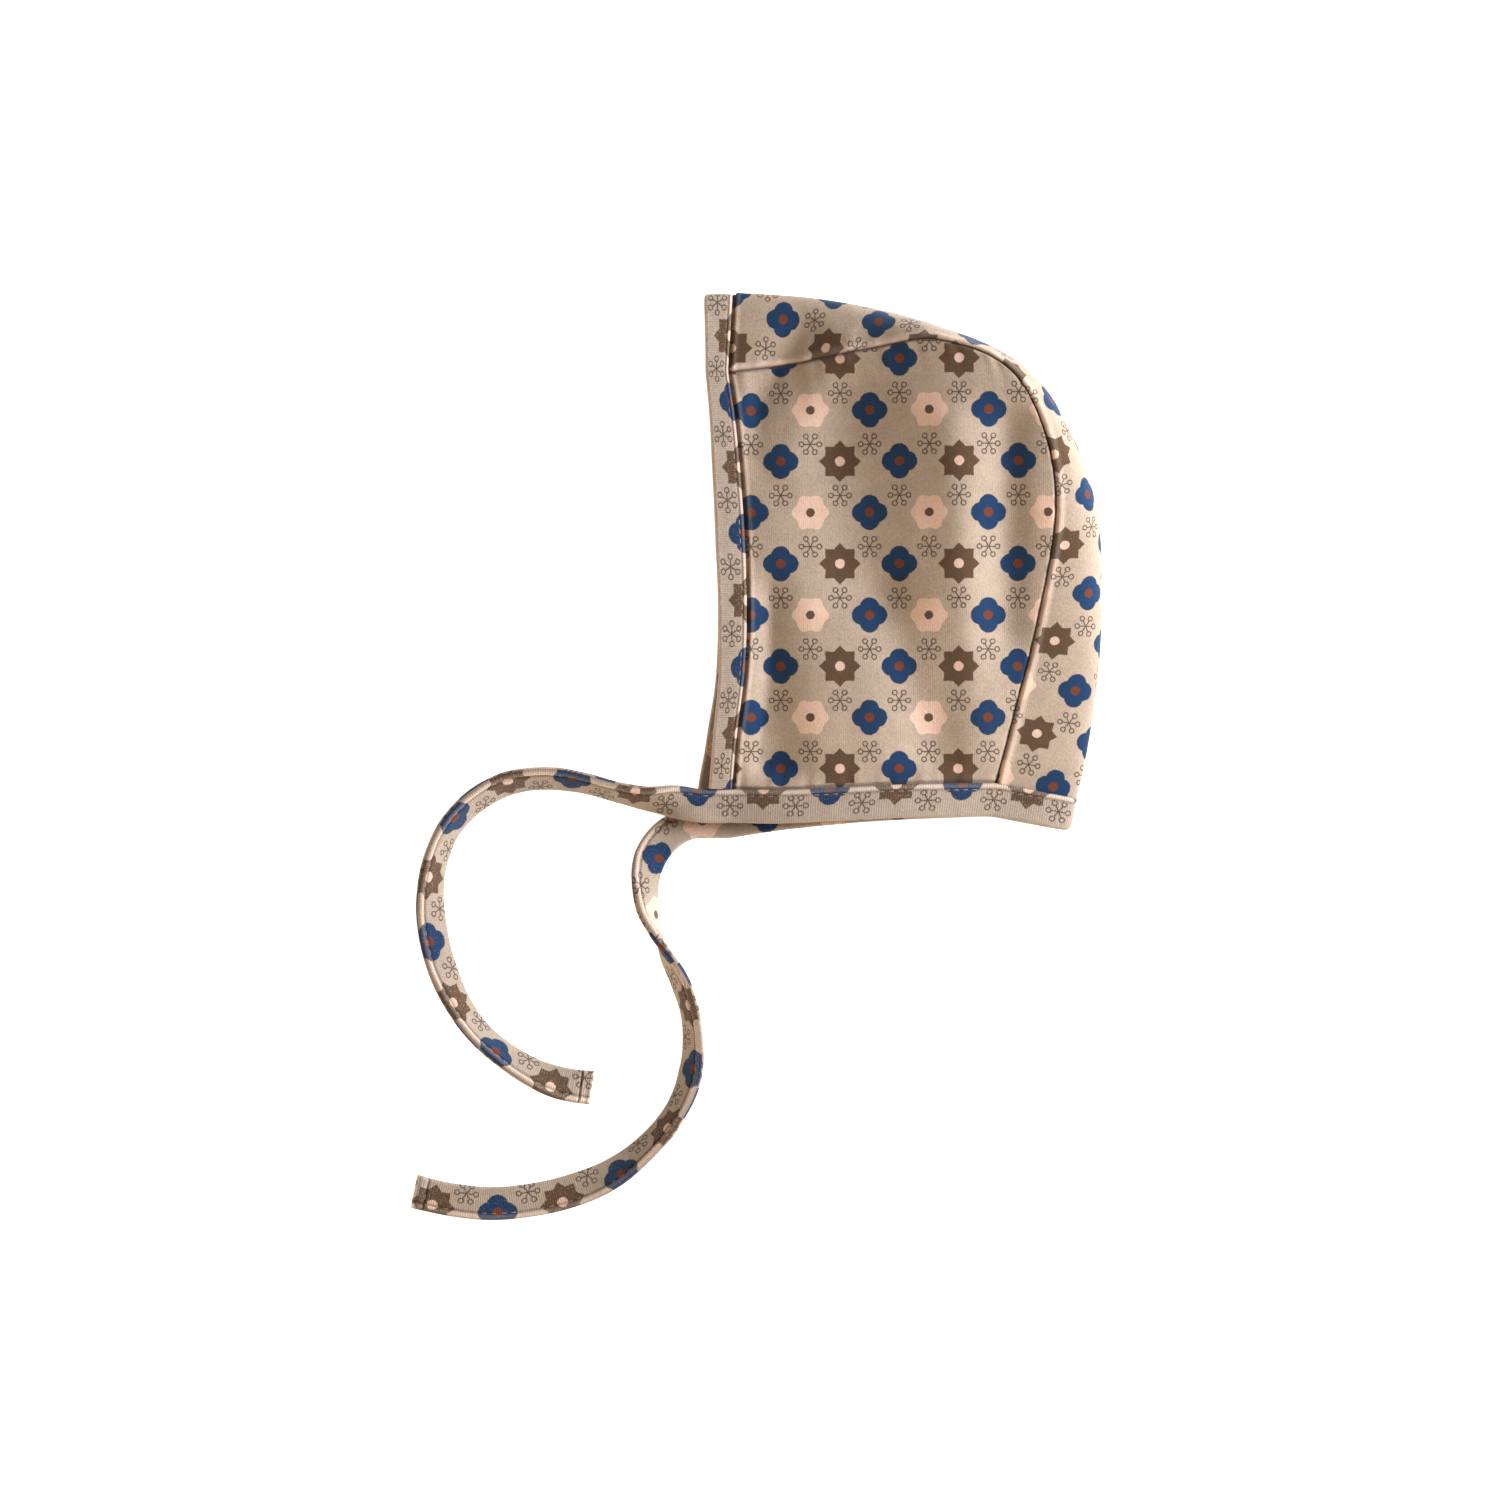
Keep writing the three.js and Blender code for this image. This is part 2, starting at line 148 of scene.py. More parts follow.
def unevenness(distance: np.ndarray, wave: float, start: float = 0.0) -> np.ndarray:
    """An uneven wave along a distance, about from -1 to 1.

    Args:
        distance: Distances in metres.
        wave: The main wavelength in metres.
        start: A phase in radians, so that two seams don't wave alike.

    Returns:
        The height of the wave at each distance.
    """
    turns = distance / wave * math.tau
    slow = SLOW.height * np.sin(SLOW.pace * turns + SLOW.start + start)
    fast = FAST.height * np.sin(FAST.pace * turns + FAST.start)
    return (np.sin(turns + start) + slow + fast) / (1.0 + SLOW.height + FAST.height)


def lie_of_cloth(points: Points, wave: float, seed: float) -> np.ndarray:
    """Soft unevenness of cloth, from smooth noise over the plan.

    Args:
        points: An array whose last axis holds x, y and z.
        wave: The size of the unevenness in metres.
        seed: A height in the noise, so that two pieces don't lie alike.

    Returns:
        A height from about -1 to 1 for each point.
    """
    flat = points.reshape(-1, 3) / wave
    heights = [noise.noise(Vector((x, y, seed))) for x, y, _ in flat.tolist()]
    return np.array(heights).reshape(points.shape[:-1])


class SmoothLine:
    """A smooth line through points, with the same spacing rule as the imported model's curves."""

    TANGENT_STEP = 0.0001
    LENGTH_STEPS = 200
    LEAST_GAP = 1e-4

    def __init__(self, points: Sequence[Sequence[float]]) -> None:
        """Keep the points, with one more before the first and one after the last.

        Args:
            points: The points that the line goes through, of any dimension.
        """
        given = np.array(points, dtype=float)
        before = 2.0 * given[0] - given[1]
        after = 2.0 * given[-1] - given[-2]
        self.points = np.vstack([before, given, after])
        self.spans = len(given) - 1
        self.even = shares(self.LENGTH_STEPS)
        self.lengths = travelled(self.at(self.even))

    def at(self, share: np.ndarray | float) -> Points:
        """Points at shares of the line, counted by its own points.

        Args:
            share: Shares from 0 to 1, of which each span has an equal part.

        Returns:
            A point for each.
        """
        place = np.atleast_1d(share) * self.spans
        first = np.clip(np.floor(place).astype(int), 0, self.spans - 1)
        weight = (place - first)[:, None]
        p0, p1, p2, p3 = (self.points[first + i] for i in range(4))
        steps = ((p0, p1), (p1, p2), (p2, p3))
        gaps = [np.sqrt(np.linalg.norm(after - before, axis=1, keepdims=True)) for before, after in steps]
        middle = np.where(gaps[1] < self.LEAST_GAP, 1.0, gaps[1])
        early, late = (np.where(gap < self.LEAST_GAP, middle, gap) for gap in gaps[::2])
        leave = ((p1 - p0) / early - (p2 - p0) / (early + middle) + (p2 - p1) / middle) * middle
        arrive = ((p2 - p1) / middle - (p3 - p1) / (middle + late) + (p3 - p2) / late) * middle
        square = 3.0 * (p2 - p1) - 2.0 * leave - arrive
        cube = 2.0 * (p1 - p2) + leave + arrive
        return p1 + weight * (leave + weight * (square + weight * cube))

    def at_length(self, share: np.ndarray | float) -> Points:
        """Points at shares of the line's length."""
        wanted = np.atleast_1d(share) * self.lengths[-1]
        return self.at(np.interp(wanted, self.lengths, self.even))

    def way(self, share: np.ndarray | float) -> Points:
        """The line's direction at shares counted by its own points.

        Args:
            share: Shares from 0 to 1.

        Returns:
            A vector of length 1 for each.
        """
        share = np.atleast_1d(share)
        ahead = self.at(np.clip(share + self.TANGENT_STEP, 0.0, 1.0))
        behind = self.at(np.clip(share - self.TANGENT_STEP, 0.0, 1.0))
        return unit(ahead - behind)


@dataclass(frozen=True)
class GussetSection:
    """A section of the gusset, in shares of the bonnet's and the gusset's sizes."""

    across: float
    up: float
    near_tuck: float
    far_tuck: float
    gape: float


@dataclass(frozen=True)
class FaceSeamPoint:
    """A point of both face seams, in shares of the bonnet's sizes."""

    up: float
    near: float
    far: float
    gape: float


@dataclass(frozen=True)
class NeckSeamPoint:
    """A point of both neck seams, in shares of the bonnet's sizes."""

    across: float
    near: float
    far: float
    gape: float


@dataclass(frozen=True)
class SoftFold:
    """A soft ridge or hollow of the near layer, between two places in shares of the bonnet's sizes."""

    start: tuple[float, float]
    end: tuple[float, float]
    half_width: float
    rise: float


@dataclass(frozen=True)
class BonnetForm:
    """The seams of the bonnet as it lies, from which every piece is laid out."""

    width: float = 140 * MM
    height: float = 191 * MM
    crown_gape: float = 28.5 * MM
    face_gape: float = 9.5 * MM
    neck_gape: float = 7 * MM
    corner_gape: float = 2.8 * MM
    cloth: float = 1.6 * MM
    band_thickness: float = 2.8 * MM
    band_proud: float = 0.5 * MM
    band_rise: float = 0.1
    gusset_width: float = 54 * MM
    face_band_width: float = 11.5 * MM
    neck_band_width: float = 12 * MM
    nape_lean: float = 0.2
    fold_roundness: float = 0.85
    crown_turn: float = 0.47
    near_corner: tuple[float, float] = (-0.4135, -0.4115)
    far_corner: tuple[float, float] = (-0.4205, -0.44)
    sections: tuple[GussetSection, ...] = (
        GussetSection(-0.4115, 0.4985, 0.519, 0.519, 0.0),
        GussetSection(-0.2225, 0.49, 0.43, 0.5, 0.2),
        GussetSection(-0.0525, 0.467, 0.268, 0.52, 0.5),
        GussetSection(0.0975, 0.4365, 0.1, 0.53, 0.82),
        GussetSection(0.2355, 0.3965, 0.07, 0.53, 0.97),
        GussetSection(0.3405, 0.343, 0.112, 0.52, 1.0),
        GussetSection(0.4245, 0.2455, 0.163, 0.51, 0.97),
        GussetSection(0.4925, 0.1026, 0.272, 0.5, 0.82),
        GussetSection(0.5055, -0.1173, 0.42, 0.5, 0.5),
        GussetSection(0.4825, -0.293, 0.508, 0.52, 0.22),
        GussetSection(0.4475, -0.428, 0.535, 0.535, 0.0),
    )
    face_seam: tuple[FaceSeamPoint, ...] = (
        FaceSeamPoint(-0.32, -0.4025, -0.4115, 0.55),
        FaceSeamPoint(-0.18, -0.38, -0.3875, 1.0),
        FaceSeamPoint(0.0, -0.3785, -0.3825, 1.0),
        FaceSeamPoint(0.16, -0.392, -0.3925, 0.75),
        FaceSeamPoint(0.27, -0.4065, -0.4065, 0.35),
    )
    neck_seam: tuple[NeckSeamPoint, ...] = (
        NeckSeamPoint(-0.3, -0.4125, -0.4265, 0.65),
        NeckSeamPoint(-0.12, -0.407, -0.413, 1.0),
        NeckSeamPoint(0.01, -0.4025, -0.4065, 0.9),
    )

    def loft(self, gape: float) -> float:
        """Height of the near layer's outside for a clear height between the layers."""
        return gape + 2.0 * self.band_thickness

    def near_point(
        self, across: float, up: float, gape: float, open_gape: float
    ) -> tuple[float, float, float]:
        """A point of the near layer, its gape a share of the way from a corner's to the open one."""
        height = self.loft(float(mixed(self.corner_gape, open_gape, gape)))
        return across * self.width, up * self.height, height

    def far_point(self, across: float, up: float) -> tuple[float, float, float]:
        """A point of the far layer, on the surface."""
        return across * self.width, up * self.height, 0.0


class Seams:
    """The seam lines of a bonnet form, and points on the gusset that they carry."""

    def __init__(self, form: BonnetForm) -> None:
        """Draw every seam line.

        Args:
            form: The sizes and tables that the seams follow.
        """
        self.form = form
        sections, width = form.sections, form.gusset_width
        folds = [form.near_point(s.across, s.up, s.gape, form.crown_gape) for s in sections]
        self.fold_line = SmoothLine(folds)
        self.tuck_line = SmoothLine([(s.near_tuck * width, s.far_tuck * width) for s in sections])
        self.near_corner = np.array(form.near_point(*form.near_corner, 0.0, form.face_gape))
        self.far_corner = np.array(form.far_point(*form.far_corner))
        near_brow, near_nape = self.near_gusset(np.array([0.0, 1.0]))
        far_brow, far_nape = self.far_gusset(np.array([0.0, 1.0]))
        near_face = (form.near_point(p.near, p.up, p.gape, form.face_gape) for p in form.face_seam)
        far_face = (form.far_point(p.far, p.up) for p in form.face_seam)
        near_neck = (form.near_point(p.across, p.near, p.gape, form.neck_gape) for p in form.neck_seam)
        far_neck = (form.far_point(p.across, p.far) for p in form.neck_seam)
        self.near_face = SmoothLine([self.near_corner, *near_face, near_brow])
        self.far_face = SmoothLine([self.far_corner, *far_face, far_brow])
        self.near_neck = SmoothLine([self.near_corner, *near_neck, near_nape])
        self.far_neck = SmoothLine([self.far_corner, *far_neck, far_nape])

    def gusset_plan(self, along: np.ndarray) -> dict[str, Points]:
        """The gusset's sections in plan: its fold, the way outwards, both seams and the loft.

        Args:
            along: Shares from the brow to the nape.

        Returns:
            A row for each share, by name.
        """
        fold = self.fold_line.at(along)
        tucks = self.tuck_line.at(along)
        way = self.fold_line.way(along)
        flat = unit(np.column_stack([way[:, 0], way[:, 1], np.zeros(len(way))]))
        outward = np.column_stack([-flat[:, 1], flat[:, 0], np.zeros(len(flat))])
        loft = fold[:, 2].copy()
        fold[:, 2] = 0.0
        return {
            "fold": fold,
            "outward": outward,
            "near": fold - outward * tucks[:, :1],
            "far": fold - outward * tucks[:, 1:],
            "loft": loft,
        }

    def gusset_points(self, along: np.ndarray, turn: np.ndarray, depth: np.ndarray) -> Points:
        """Points of the gusset.

        Args:
            along: Shares of the gusset's length, from the brow to the nape.
            turn: Shares of the way round its fold, from the near seam to the far one.
            depth: Distance inwards from the cloth's outside, for each share along and each turn.

        Returns:
            An array with a row for each share along and a column for each turn.
        """
        plan = self.gusset_plan(along)
        angle = turn * math.pi
        out = (np.sin(angle).clip(0.0) ** self.form.fold_roundness)[None, :, None]
        rise = np.abs(np.cos(angle)) ** self.form.fold_roundness * np.where(turn < 0.5, 1.0, -1.0)
        seam = np.where((turn < 0.5)[None, :, None], plan["near"][:, None], plan["far"][:, None])
        fold = plan["fold"][:, None] - plan["outward"][:, None] * depth[..., None]
        points = seam * (1.0 - out) + fold * out
        middle = plan["loft"][:, None] / 2.0
        points[..., 2] = middle + rise[None, :] * (middle - depth)
        return points

    def near_gusset(self, along: np.ndarray) -> Points:
        """The near panel's seam with the gusset.

        Args:
            along: Shares from the brow to the nape.

        Returns:
            A point for each share.
        """
        plan = self.gusset_plan(along)
        seam = plan["near"]
        seam[:, 2] = plan["loft"]
        return seam

    def far_gusset(self, along: np.ndarray) -> Points:
        """The far panel's seam with the gusset."""
        return self.gusset_plan(along)["far"]

    def patch(
        self, face: SmoothLine, neck: SmoothLine, gusset: Callable, u: np.ndarray, v: np.ndarray
    ) -> Points:
        """A panel that fills its seams.

        Args:
            face: The seam with the face band, from the neck up.
            neck: The seam with the neck band, from the face to the back.
            gusset: The seam with the gusset, from the brow round the crown to the nape.
            u: Shares from the face to the back.
            v: Shares from the neck to the crown.

        Returns:
            An array with a row for each u and a column for each v.
        """
        turn = self.form.crown_turn
        bottom, top = neck.at_length(u)[:, None], gusset(turn * u)[:, None]
        left, right = face.at_length(v)[None], gusset(1.0 - (1.0 - turn) * v)[None]
        u, v = u[:, None, None], v[None, :, None]
        sides = bottom * (1.0 - v) + top * v + left * (1.0 - u) + right * u
        low = neck.at_length(0.0)[0] * (1.0 - u) + neck.at_length(1.0)[0] * u
        high = gusset(np.array([0.0]))[0] * (1.0 - u) + gusset(np.array([turn]))[0] * u
        return sides - low * (1.0 - v) - high * v


@dataclass
class Drape:
    """The folds and the soft unevenness of the near layer, which runs on from the panel over the gusset."""

    seams: Seams
    broad_rise: float = 0.7 * MM
    broad_size: float = 33 * MM
    broad_seed: float = 0.3
    small_rise: float = 0.2 * MM
    small_size: float = 11 * MM
    small_seed: float = 4.1
    calm: float = 9 * MM
    seam_steps: int = 60
    folds: tuple[SoftFold, ...] = (
        SoftFold((0.1275, 0.255), (0.215, -0.43), 8.5 * MM, 1.7 * MM),
        SoftFold((-0.135, 0.245), (-0.085, -0.04), 18 * MM, -4.0 * MM),
        SoftFold((-0.035, -0.048), (0.0775, -0.33), 9 * MM, -2.1 * MM),
        SoftFold((0.2675, 0.245), (0.2625, -0.12), 8.5 * MM, -3.8 * MM),
        SoftFold((-0.35, -0.08), (-0.31, -0.41), 11 * MM, -3.8 * MM),
        SoftFold((-0.085, -0.2), (-0.03, -0.36), 9 * MM, 0.3 * MM),
        SoftFold((-0.2475, 0.4435), (-0.41, 0.218), 6.5 * MM, -2.2 * MM),
        SoftFold((-0.1475, 0.4), (-0.2725, 0.19), 7.5 * MM, 1.4 * MM),
    )

    def rise(self, points: Points) -> np.ndarray:
        """Height that the cloth gains at points of the near layer, none at the face and neck seams.

        Args:
            points: An array whose last axis holds x, y and z.

        Returns:
            The rise at each point.
        """
        size = np.array([self.seams.form.width, self.seams.form.height])
        flat = points[..., :2]
        total = self.broad_rise * lie_of_cloth(points, self.broad_size, self.broad_seed)
        total += self.small_rise * lie_of_cloth(points, self.small_size, self.small_seed)
        for fold in self.folds:
            start, end = np.array(fold.start) * size, np.array(fold.end) * size
            line = end - start
            share = np.clip((flat - start) @ line / (line @ line), 0.0, 1.0)
            away = flat - start - share[..., None] * line
            total += fold.rise * bell(np.linalg.norm(away, axis=-1), fold.half_width)
        return total * self._freedom(flat)

    def _freedom(self, flat: np.ndarray) -> np.ndarray:
        """How free the cloth is to rise, from 0 at the face and neck seams to 1.

        Args:
            flat: Places in plan.

        Returns:
            A share from 0 to 1 for each place.
        """
        steps = shares(self.seam_steps)
        face, neck = self.seams.near_face.at(steps), self.seams.near_neck.at(steps)
        from_face = flat[..., 0] - np.interp(flat[..., 1], face[:, 1], face[:, 0])
        from_neck = flat[..., 1] - np.interp(flat[..., 0], neck[:, 0], neck[:, 1])
        return smooth(from_face / self.calm) * smooth(from_neck / self.calm)


class Cloth:
    """A closed piece of cloth that is laid out as a row of loops."""

    GRAIN_UNIT = 0.1
    GRAIN = "grain"
    LIGHT_SHADE_AND_TONE = "seam_light_shade_and_tone"

    def __init__(self, name: str, loops: Points, grain: np.ndarray, tone: np.ndarray) -> None:
        """Make the mesh.

        Args:
            name: The name of the piece.
            loops: Points with a row for each loop. In a loop, point j faces the one that is j from its end.
            grain: Places on the flat cloth in metres, a row for each loop, and one more than its points.
            tone: How much paler, or how much darker if less than 0, the cloth is at each point, mostly
                painted highlight and painted shade at seams, ridges and edges.
        """
        count, size = loops.shape[:2]
        quads, corners = self._sides(count, size)
        smooth_count = len(quads)
        caps, cap_corners = self._caps(count, size)
        quads, corners = np.vstack([quads, caps]), np.vstack([corners, cap_corners])
        if self._volume(loops.reshape(-1, 3), quads) < 0.0:
            quads, corners = quads[:, ::-1], corners[:, ::-1]
        mesh = bpy.data.meshes.new(name)
        mesh.from_pydata(loops.reshape(-1, 3).tolist(), [], quads.tolist())
        layer = mesh.uv_layers.new(name=self.GRAIN)
        places = grain.reshape(-1, 2)[corners.reshape(-1)] / self.GRAIN_UNIT
        layer.data.foreach_set("uv", places.astype(np.float32).reshape(-1))
        # The attribute holds painted highlight and painted shade at seams, ridges and edges.
        shade = mesh.attributes.new(self.LIGHT_SHADE_AND_TONE, "FLOAT", "POINT")
        shade.data.foreach_set("value", tone.astype(np.float32).reshape(-1))
        mesh.polygons.foreach_set("use_smooth", np.arange(len(quads)) < smooth_count)
        mesh.update()
        self.piece = bpy.data.objects.new(name, mesh)
        bpy.context.scene.collection.objects.link(self.piece)
        self.loop_size = size

    @staticmethod
    def _sides(count: int, size: int) -> tuple[np.ndarray, np.ndarray]:
        """Quads between the loops, and their places in the grain.

        Args:
            count: The number of loops.
            size: The number of points in a loop.

        Returns:
            For each quad its points, and its places in the grain.
        """
        row, column = np.meshgrid(np.arange(count - 1), np.arange(size), indexing="ij")
        row, column = row.ravel(), column.ravel()
        after = (column + 1) % size
        low, high = row * size, (row + 1) * size
        quads = np.column_stack([low + column, low + after, high + after, high + column])
        wide = size + 1
        corner = row * wide + column
        corners = np.column_stack([corner, corner + 1, corner + wide + 1, corner + wide])
        return quads, corners

    @staticmethod
    def _caps(count: int, size: int) -> tuple[np.ndarray, np.ndarray]:
        """Quads that close the first and the last loop, from each side of it to the other.

        Args:
            count: The number of loops.
            size: The number of points in a loop.

        Returns:
            For each quad its points, and its places in the grain.
        """
        step = np.arange(size // 2 - 1)
        ladder = np.column_stack([step, size - 1 - step, size - 2 - step, step + 1])
        end = (count - 1) * size
        wide = (count - 1) * (size + 1)
        return np.vstack([ladder, ladder[:, ::-1] + end]), np.vstack([ladder, ladder[:, ::-1] + wide])

    @staticmethod
    def _volume(points: Points, quads: np.ndarray) -> float:
        """Six times the signed volume that quads enclose."""
        a, b, c, d = (points[quads[:, i]] for i in range(4))
        halves = np.einsum("ij,ij->i", a, np.cross(b, c)) + np.einsum("ij,ij->i", a, np.cross(c, d))
        return float(halves.sum())

    def dress(self, outside: bpy.types.Material, inside: bpy.types.Material | None = None) -> None:
        """Give the cloth its finishes.

        Args:
            outside: The finish of the first half of each loop, and of the whole if there is no other.
            inside: The finish of the second half of each loop.
        """
        mesh = self.piece.data
        mesh.materials.append(outside)
        if inside is None:
            return
        mesh.materials.append(inside)
        column = np.arange(len(mesh.polygons)) % self.loop_size
        mesh.polygons.foreach_set("material_index", (column >= self.loop_size // 2).astype(int).tolist())


def wall(name: str, outer: Points, inner: Points, grain: np.ndarray, tone: np.ndarray) -> Cloth:
    """A closed wall between two grids of points.

    Args:
        name: The name of the piece.
        outer: The outside of the cloth, as rows and columns of points.
        inner: The inside, point for point.
        grain: Places on the flat cloth in metres, point for point.
        tone: How much paler or darker the cloth is, point for point, with painted highlight and painted shade
            at the seams.

    Returns:
        The piece of cloth.
    """
    loops = np.concatenate([outer, inner[:, ::-1]], axis=1)
    places = np.concatenate([grain, grain[:, ::-1], grain[:, :1]], axis=1)
    return Cloth(name, loops, places, np.concatenate([tone, tone[:, ::-1]], axis=1))


@dataclass(frozen=True)
class Stations:
    """Frames along a strap: points, the way across it and the way out of it."""

    points: Points
    across: Points
    out: Points


@dataclass(frozen=True)
class StrapProfile:
    """The section of a folded and topstitched strap, from its stitched edge to its folded edge."""

    width: float
    thickness: float
    edge_radius: float = 1.15 * MM
    ridge_place: float = 1.15 * MM
    ridge_half_width: float = 0.85 * MM
    ridge_rise: float = 0.26 * MM
    stitch_place: float = 2.4 * MM
    stitch_half_width: float = 0.42 * MM
    stitch_dip: float = 0.44 * MM
    crown: float = 0.14 * MM
    # pale is painted highlight on the ridge, dark is painted shade at the stitched edge and in the stitch
    # line, and the fold's share is painted highlight on the folded edge.
    pale: float = 0.5
    dark: float = 0.4
    edge_shade_half_width: float = 0.3 * MM
    fold_painted_highlight: float = 0.0
    fold_reach: float = 1.6 * MM
    edge_steps: int = 5
    fine_reach: float = 3.6 * MM
    fine_step: float = 0.24 * MM
    coarse_step: float = 0.6 * MM

    def columns(self) -> np.ndarray:
        """Distances from the stitched edge, close together where the section bends.

        Returns:
            The distances, from 0 to the width.
        """
        radius, fine_end = self.edge_radius, self.fine_reach
        curve = radius * (1.0 - np.cos(np.linspace(0.0, math.pi / 2.0, self.edge_steps + 1)))
        fine = np.linspace(radius, fine_end, round((fine_end - radius) / self.fine_step) + 1)
        coarse_end = self.width - radius
        coarse = np.linspace(fine_end, coarse_end, round((coarse_end - fine_end) / self.coarse_step) + 1)
        return np.concatenate([curve, fine[1:], coarse[1:], (self.width - curve[::-1])[1:]])

    def half_thickness(self, place: np.ndarray) -> np.ndarray:
        """Half the thickness at distances from the stitched edge.

        Args:
            place: The distances.

        Returns:
            Half the thickness at each.
        """
        radius = self.edge_radius
        nearest = np.minimum(place, self.width - place).clip(0.0, radius)
        edge = np.sqrt(np.maximum(radius**2 - (radius - nearest) ** 2, 0.0)) / radius
        body = self.thickness / 2.0 + self.crown * np.sin(math.pi * place / self.width)
        ridge = self.ridge_rise * bell(place - self.ridge_place, self.ridge_half_width)
        dip = self.stitch_dip * bell(place - self.stitch_place, self.stitch_half_width)
        return (body + ridge) * edge - dip

    def tone(self, place: np.ndarray) -> np.ndarray:
        """Painted highlight on the ridge and the folded edge, and painted shade at the stitched edge and in
        the stitch line.

        Args:
            place: Distances from the stitched edge.

        Returns:
            The tone at each, less than 0 for darker.
        """
        pale = self.pale * bell(place - self.ridge_place, self.ridge_half_width)
        pale += self.fold_painted_highlight * bell(self.width - place, self.fold_reach)
        line = bell(place - self.stitch_place, self.stitch_half_width) + bell(place, self.edge_shade_half_width)
        return pale - self.dark * line


class Strap:
    """A strip of folded binding that is laid along stations."""

    END_LOOP = 0.03

    def __init__(self, profile: StrapProfile, stations: Stations, start: float, level: float) -> None:
        """Keep what the strap is made from.

        Args:
            profile: The strap's section.
            stations: The frames that it is laid along.
            start: Where the stitched edge lies across each station.
            level: Where the middle of the thickness lies out of each station.
        """
        self.profile = profile
        self.stations = stations
        self.start = start
        self.level = level
        self.distance = travelled(stations.points)

    def place(self, station: np.ndarray, across: np.ndarray, out: np.ndarray) -> Points:
        """Points at distances across and out of the strap's middle, for fractions of a station.

        Args:
            station: Places counted in stations, whole or not.
            across: Distances from the stitched edge.
            out: Distances from the middle of the thickness.

        Returns:
            A point for each place.
        """
        index = np.arange(len(self.stations.points))
        frames = self.stations
        base, side, rise = (
            interpolated(station, index, rows) for rows in (frames.points, frames.across, frames.out)
        )
        return base + side * (self.start + across)[:, None] + unit(rise) * (self.level + out)[:, None]

    def cloth(
        self, name: str, thickness: np.ndarray, widths: np.ndarray, along: np.ndarray, drift: np.ndarray,
        end_tone: np.ndarray, turned: bool = False,
    ) -> Cloth:
        """Make the strap's mesh.

        Args:
            name: The name of the piece.
            thickness: Share of the profile's thickness, for each station and each column.
            widths: Share of the profile's width at each station.
            along: Place of each station on the flat cloth, along the strap.
            drift: How far the print has slid across the strap at each station.
            end_tone: How much paler or darker the cloth is at each station, added to the section's painted
                highlight and painted shade.
            turned: Whether the print runs the other way round the section.

        Returns:
            The piece of cloth.
        """
        columns = self.profile.columns()
        half = self.profile.half_thickness(columns)[None] * thickness
        across = self.start + columns[None] * widths[:, None]
        frames = self.stations
        base = frames.points[:, None] + frames.across[:, None] * across[..., None]
        out = frames.out[:, None]
        top = base + out * (self.level + half)[..., None]
        bottom = base + out * (self.level - half)[..., None]
        loops = np.concatenate([top, bottom[:, ::-1]], axis=1)
        loops[..., 2] = np.maximum(loops[..., 2], FLOOR_CLEARANCE)
        round_trip = 2.0 * self.profile.width
        section = np.concatenate([columns, round_trip - columns[::-1], [round_trip]])
        grain = np.empty((len(loops), len(section), 2))
        grain[..., 0] = along[:, None]
        grain[..., 1] = section[None] - drift[:, None]
        if turned:
            grain[..., 1] = round_trip - grain[..., 1]
        tone = self.profile.tone(columns)[None] + end_tone[:, None]
        tone = np.concatenate([tone, tone[:, ::-1]], axis=1)
        return Cloth(name, *(self._with_end_loops(rows) for rows in (loops, grain, tone)))

    def _with_end_loops(self, rows: np.ndarray) -> np.ndarray:
        """Rows with one more close to each end, so that the edge of the flat end stays sharp."""
        first = mixed(rows[:1], rows[1:2], self.END_LOOP)
        last = mixed(rows[-1:], rows[-2:-1], self.END_LOOP)
        return np.concatenate([rows[:1], first, rows[1:-1], last, rows[-1:]])


class Wire:
    """A number in a shader, with the operators of arithmetic and the functions of a Math node."""

    def __init__(self, nodes: "FinishNodes", socket: bpy.types.NodeSocket) -> None:
        """Keep the socket that gives the number.

        Args:
            nodes: The nodes that the number belongs to.
            socket: The output socket that gives it.
        """
        self.nodes = nodes
        self.socket = socket

    def _with(self, operation: str, *others: Number) -> "Wire":
        """This number, and others after it, under an operation of a Math node."""
        return self.nodes.maths(operation, self, *others)

    def _after(self, operation: str, other: Number) -> "Wire":
        """Another number, and this one after it, under an operation of a Math node."""
        return self.nodes.maths(operation, other, self)

    __add__ = partialmethod(_with, "ADD")
    __radd__ = partialmethod(_after, "ADD")
    __sub__ = partialmethod(_with, "SUBTRACT")
    __rsub__ = partialmethod(_after, "SUBTRACT")
    __mul__ = partialmethod(_with, "MULTIPLY")
    __rmul__ = partialmethod(_after, "MULTIPLY")
    __truediv__ = partialmethod(_with, "DIVIDE")
    __abs__ = partialmethod(_with, "ABSOLUTE")
    most = partialmethod(_with, "MAXIMUM")
    least = partialmethod(_with, "MINIMUM")
    floor = partialmethod(_with, "FLOOR")
    sine = partialmethod(_with, "SINE")
    cosine = partialmethod(_with, "COSINE")
    root = partialmethod(_with, "SQRT")

    def within(self, half: float) -> "Wire":
        """This number brought between -half and half by whole steps."""
        return self.nodes.maths("WRAP", self, half, -half)

    def wave(self) -> "Wire":
        """The cosine of this number of turns."""
        return (self * math.tau).cosine()

    def inside(self, softness: float) -> "Wire":
        """1 where this distance is below 0, and 0 where it is above, with a soft edge."""
        return self.nodes.maths("MULTIPLY_ADD", self, -1.0 / softness, 0.5, clamp=True)


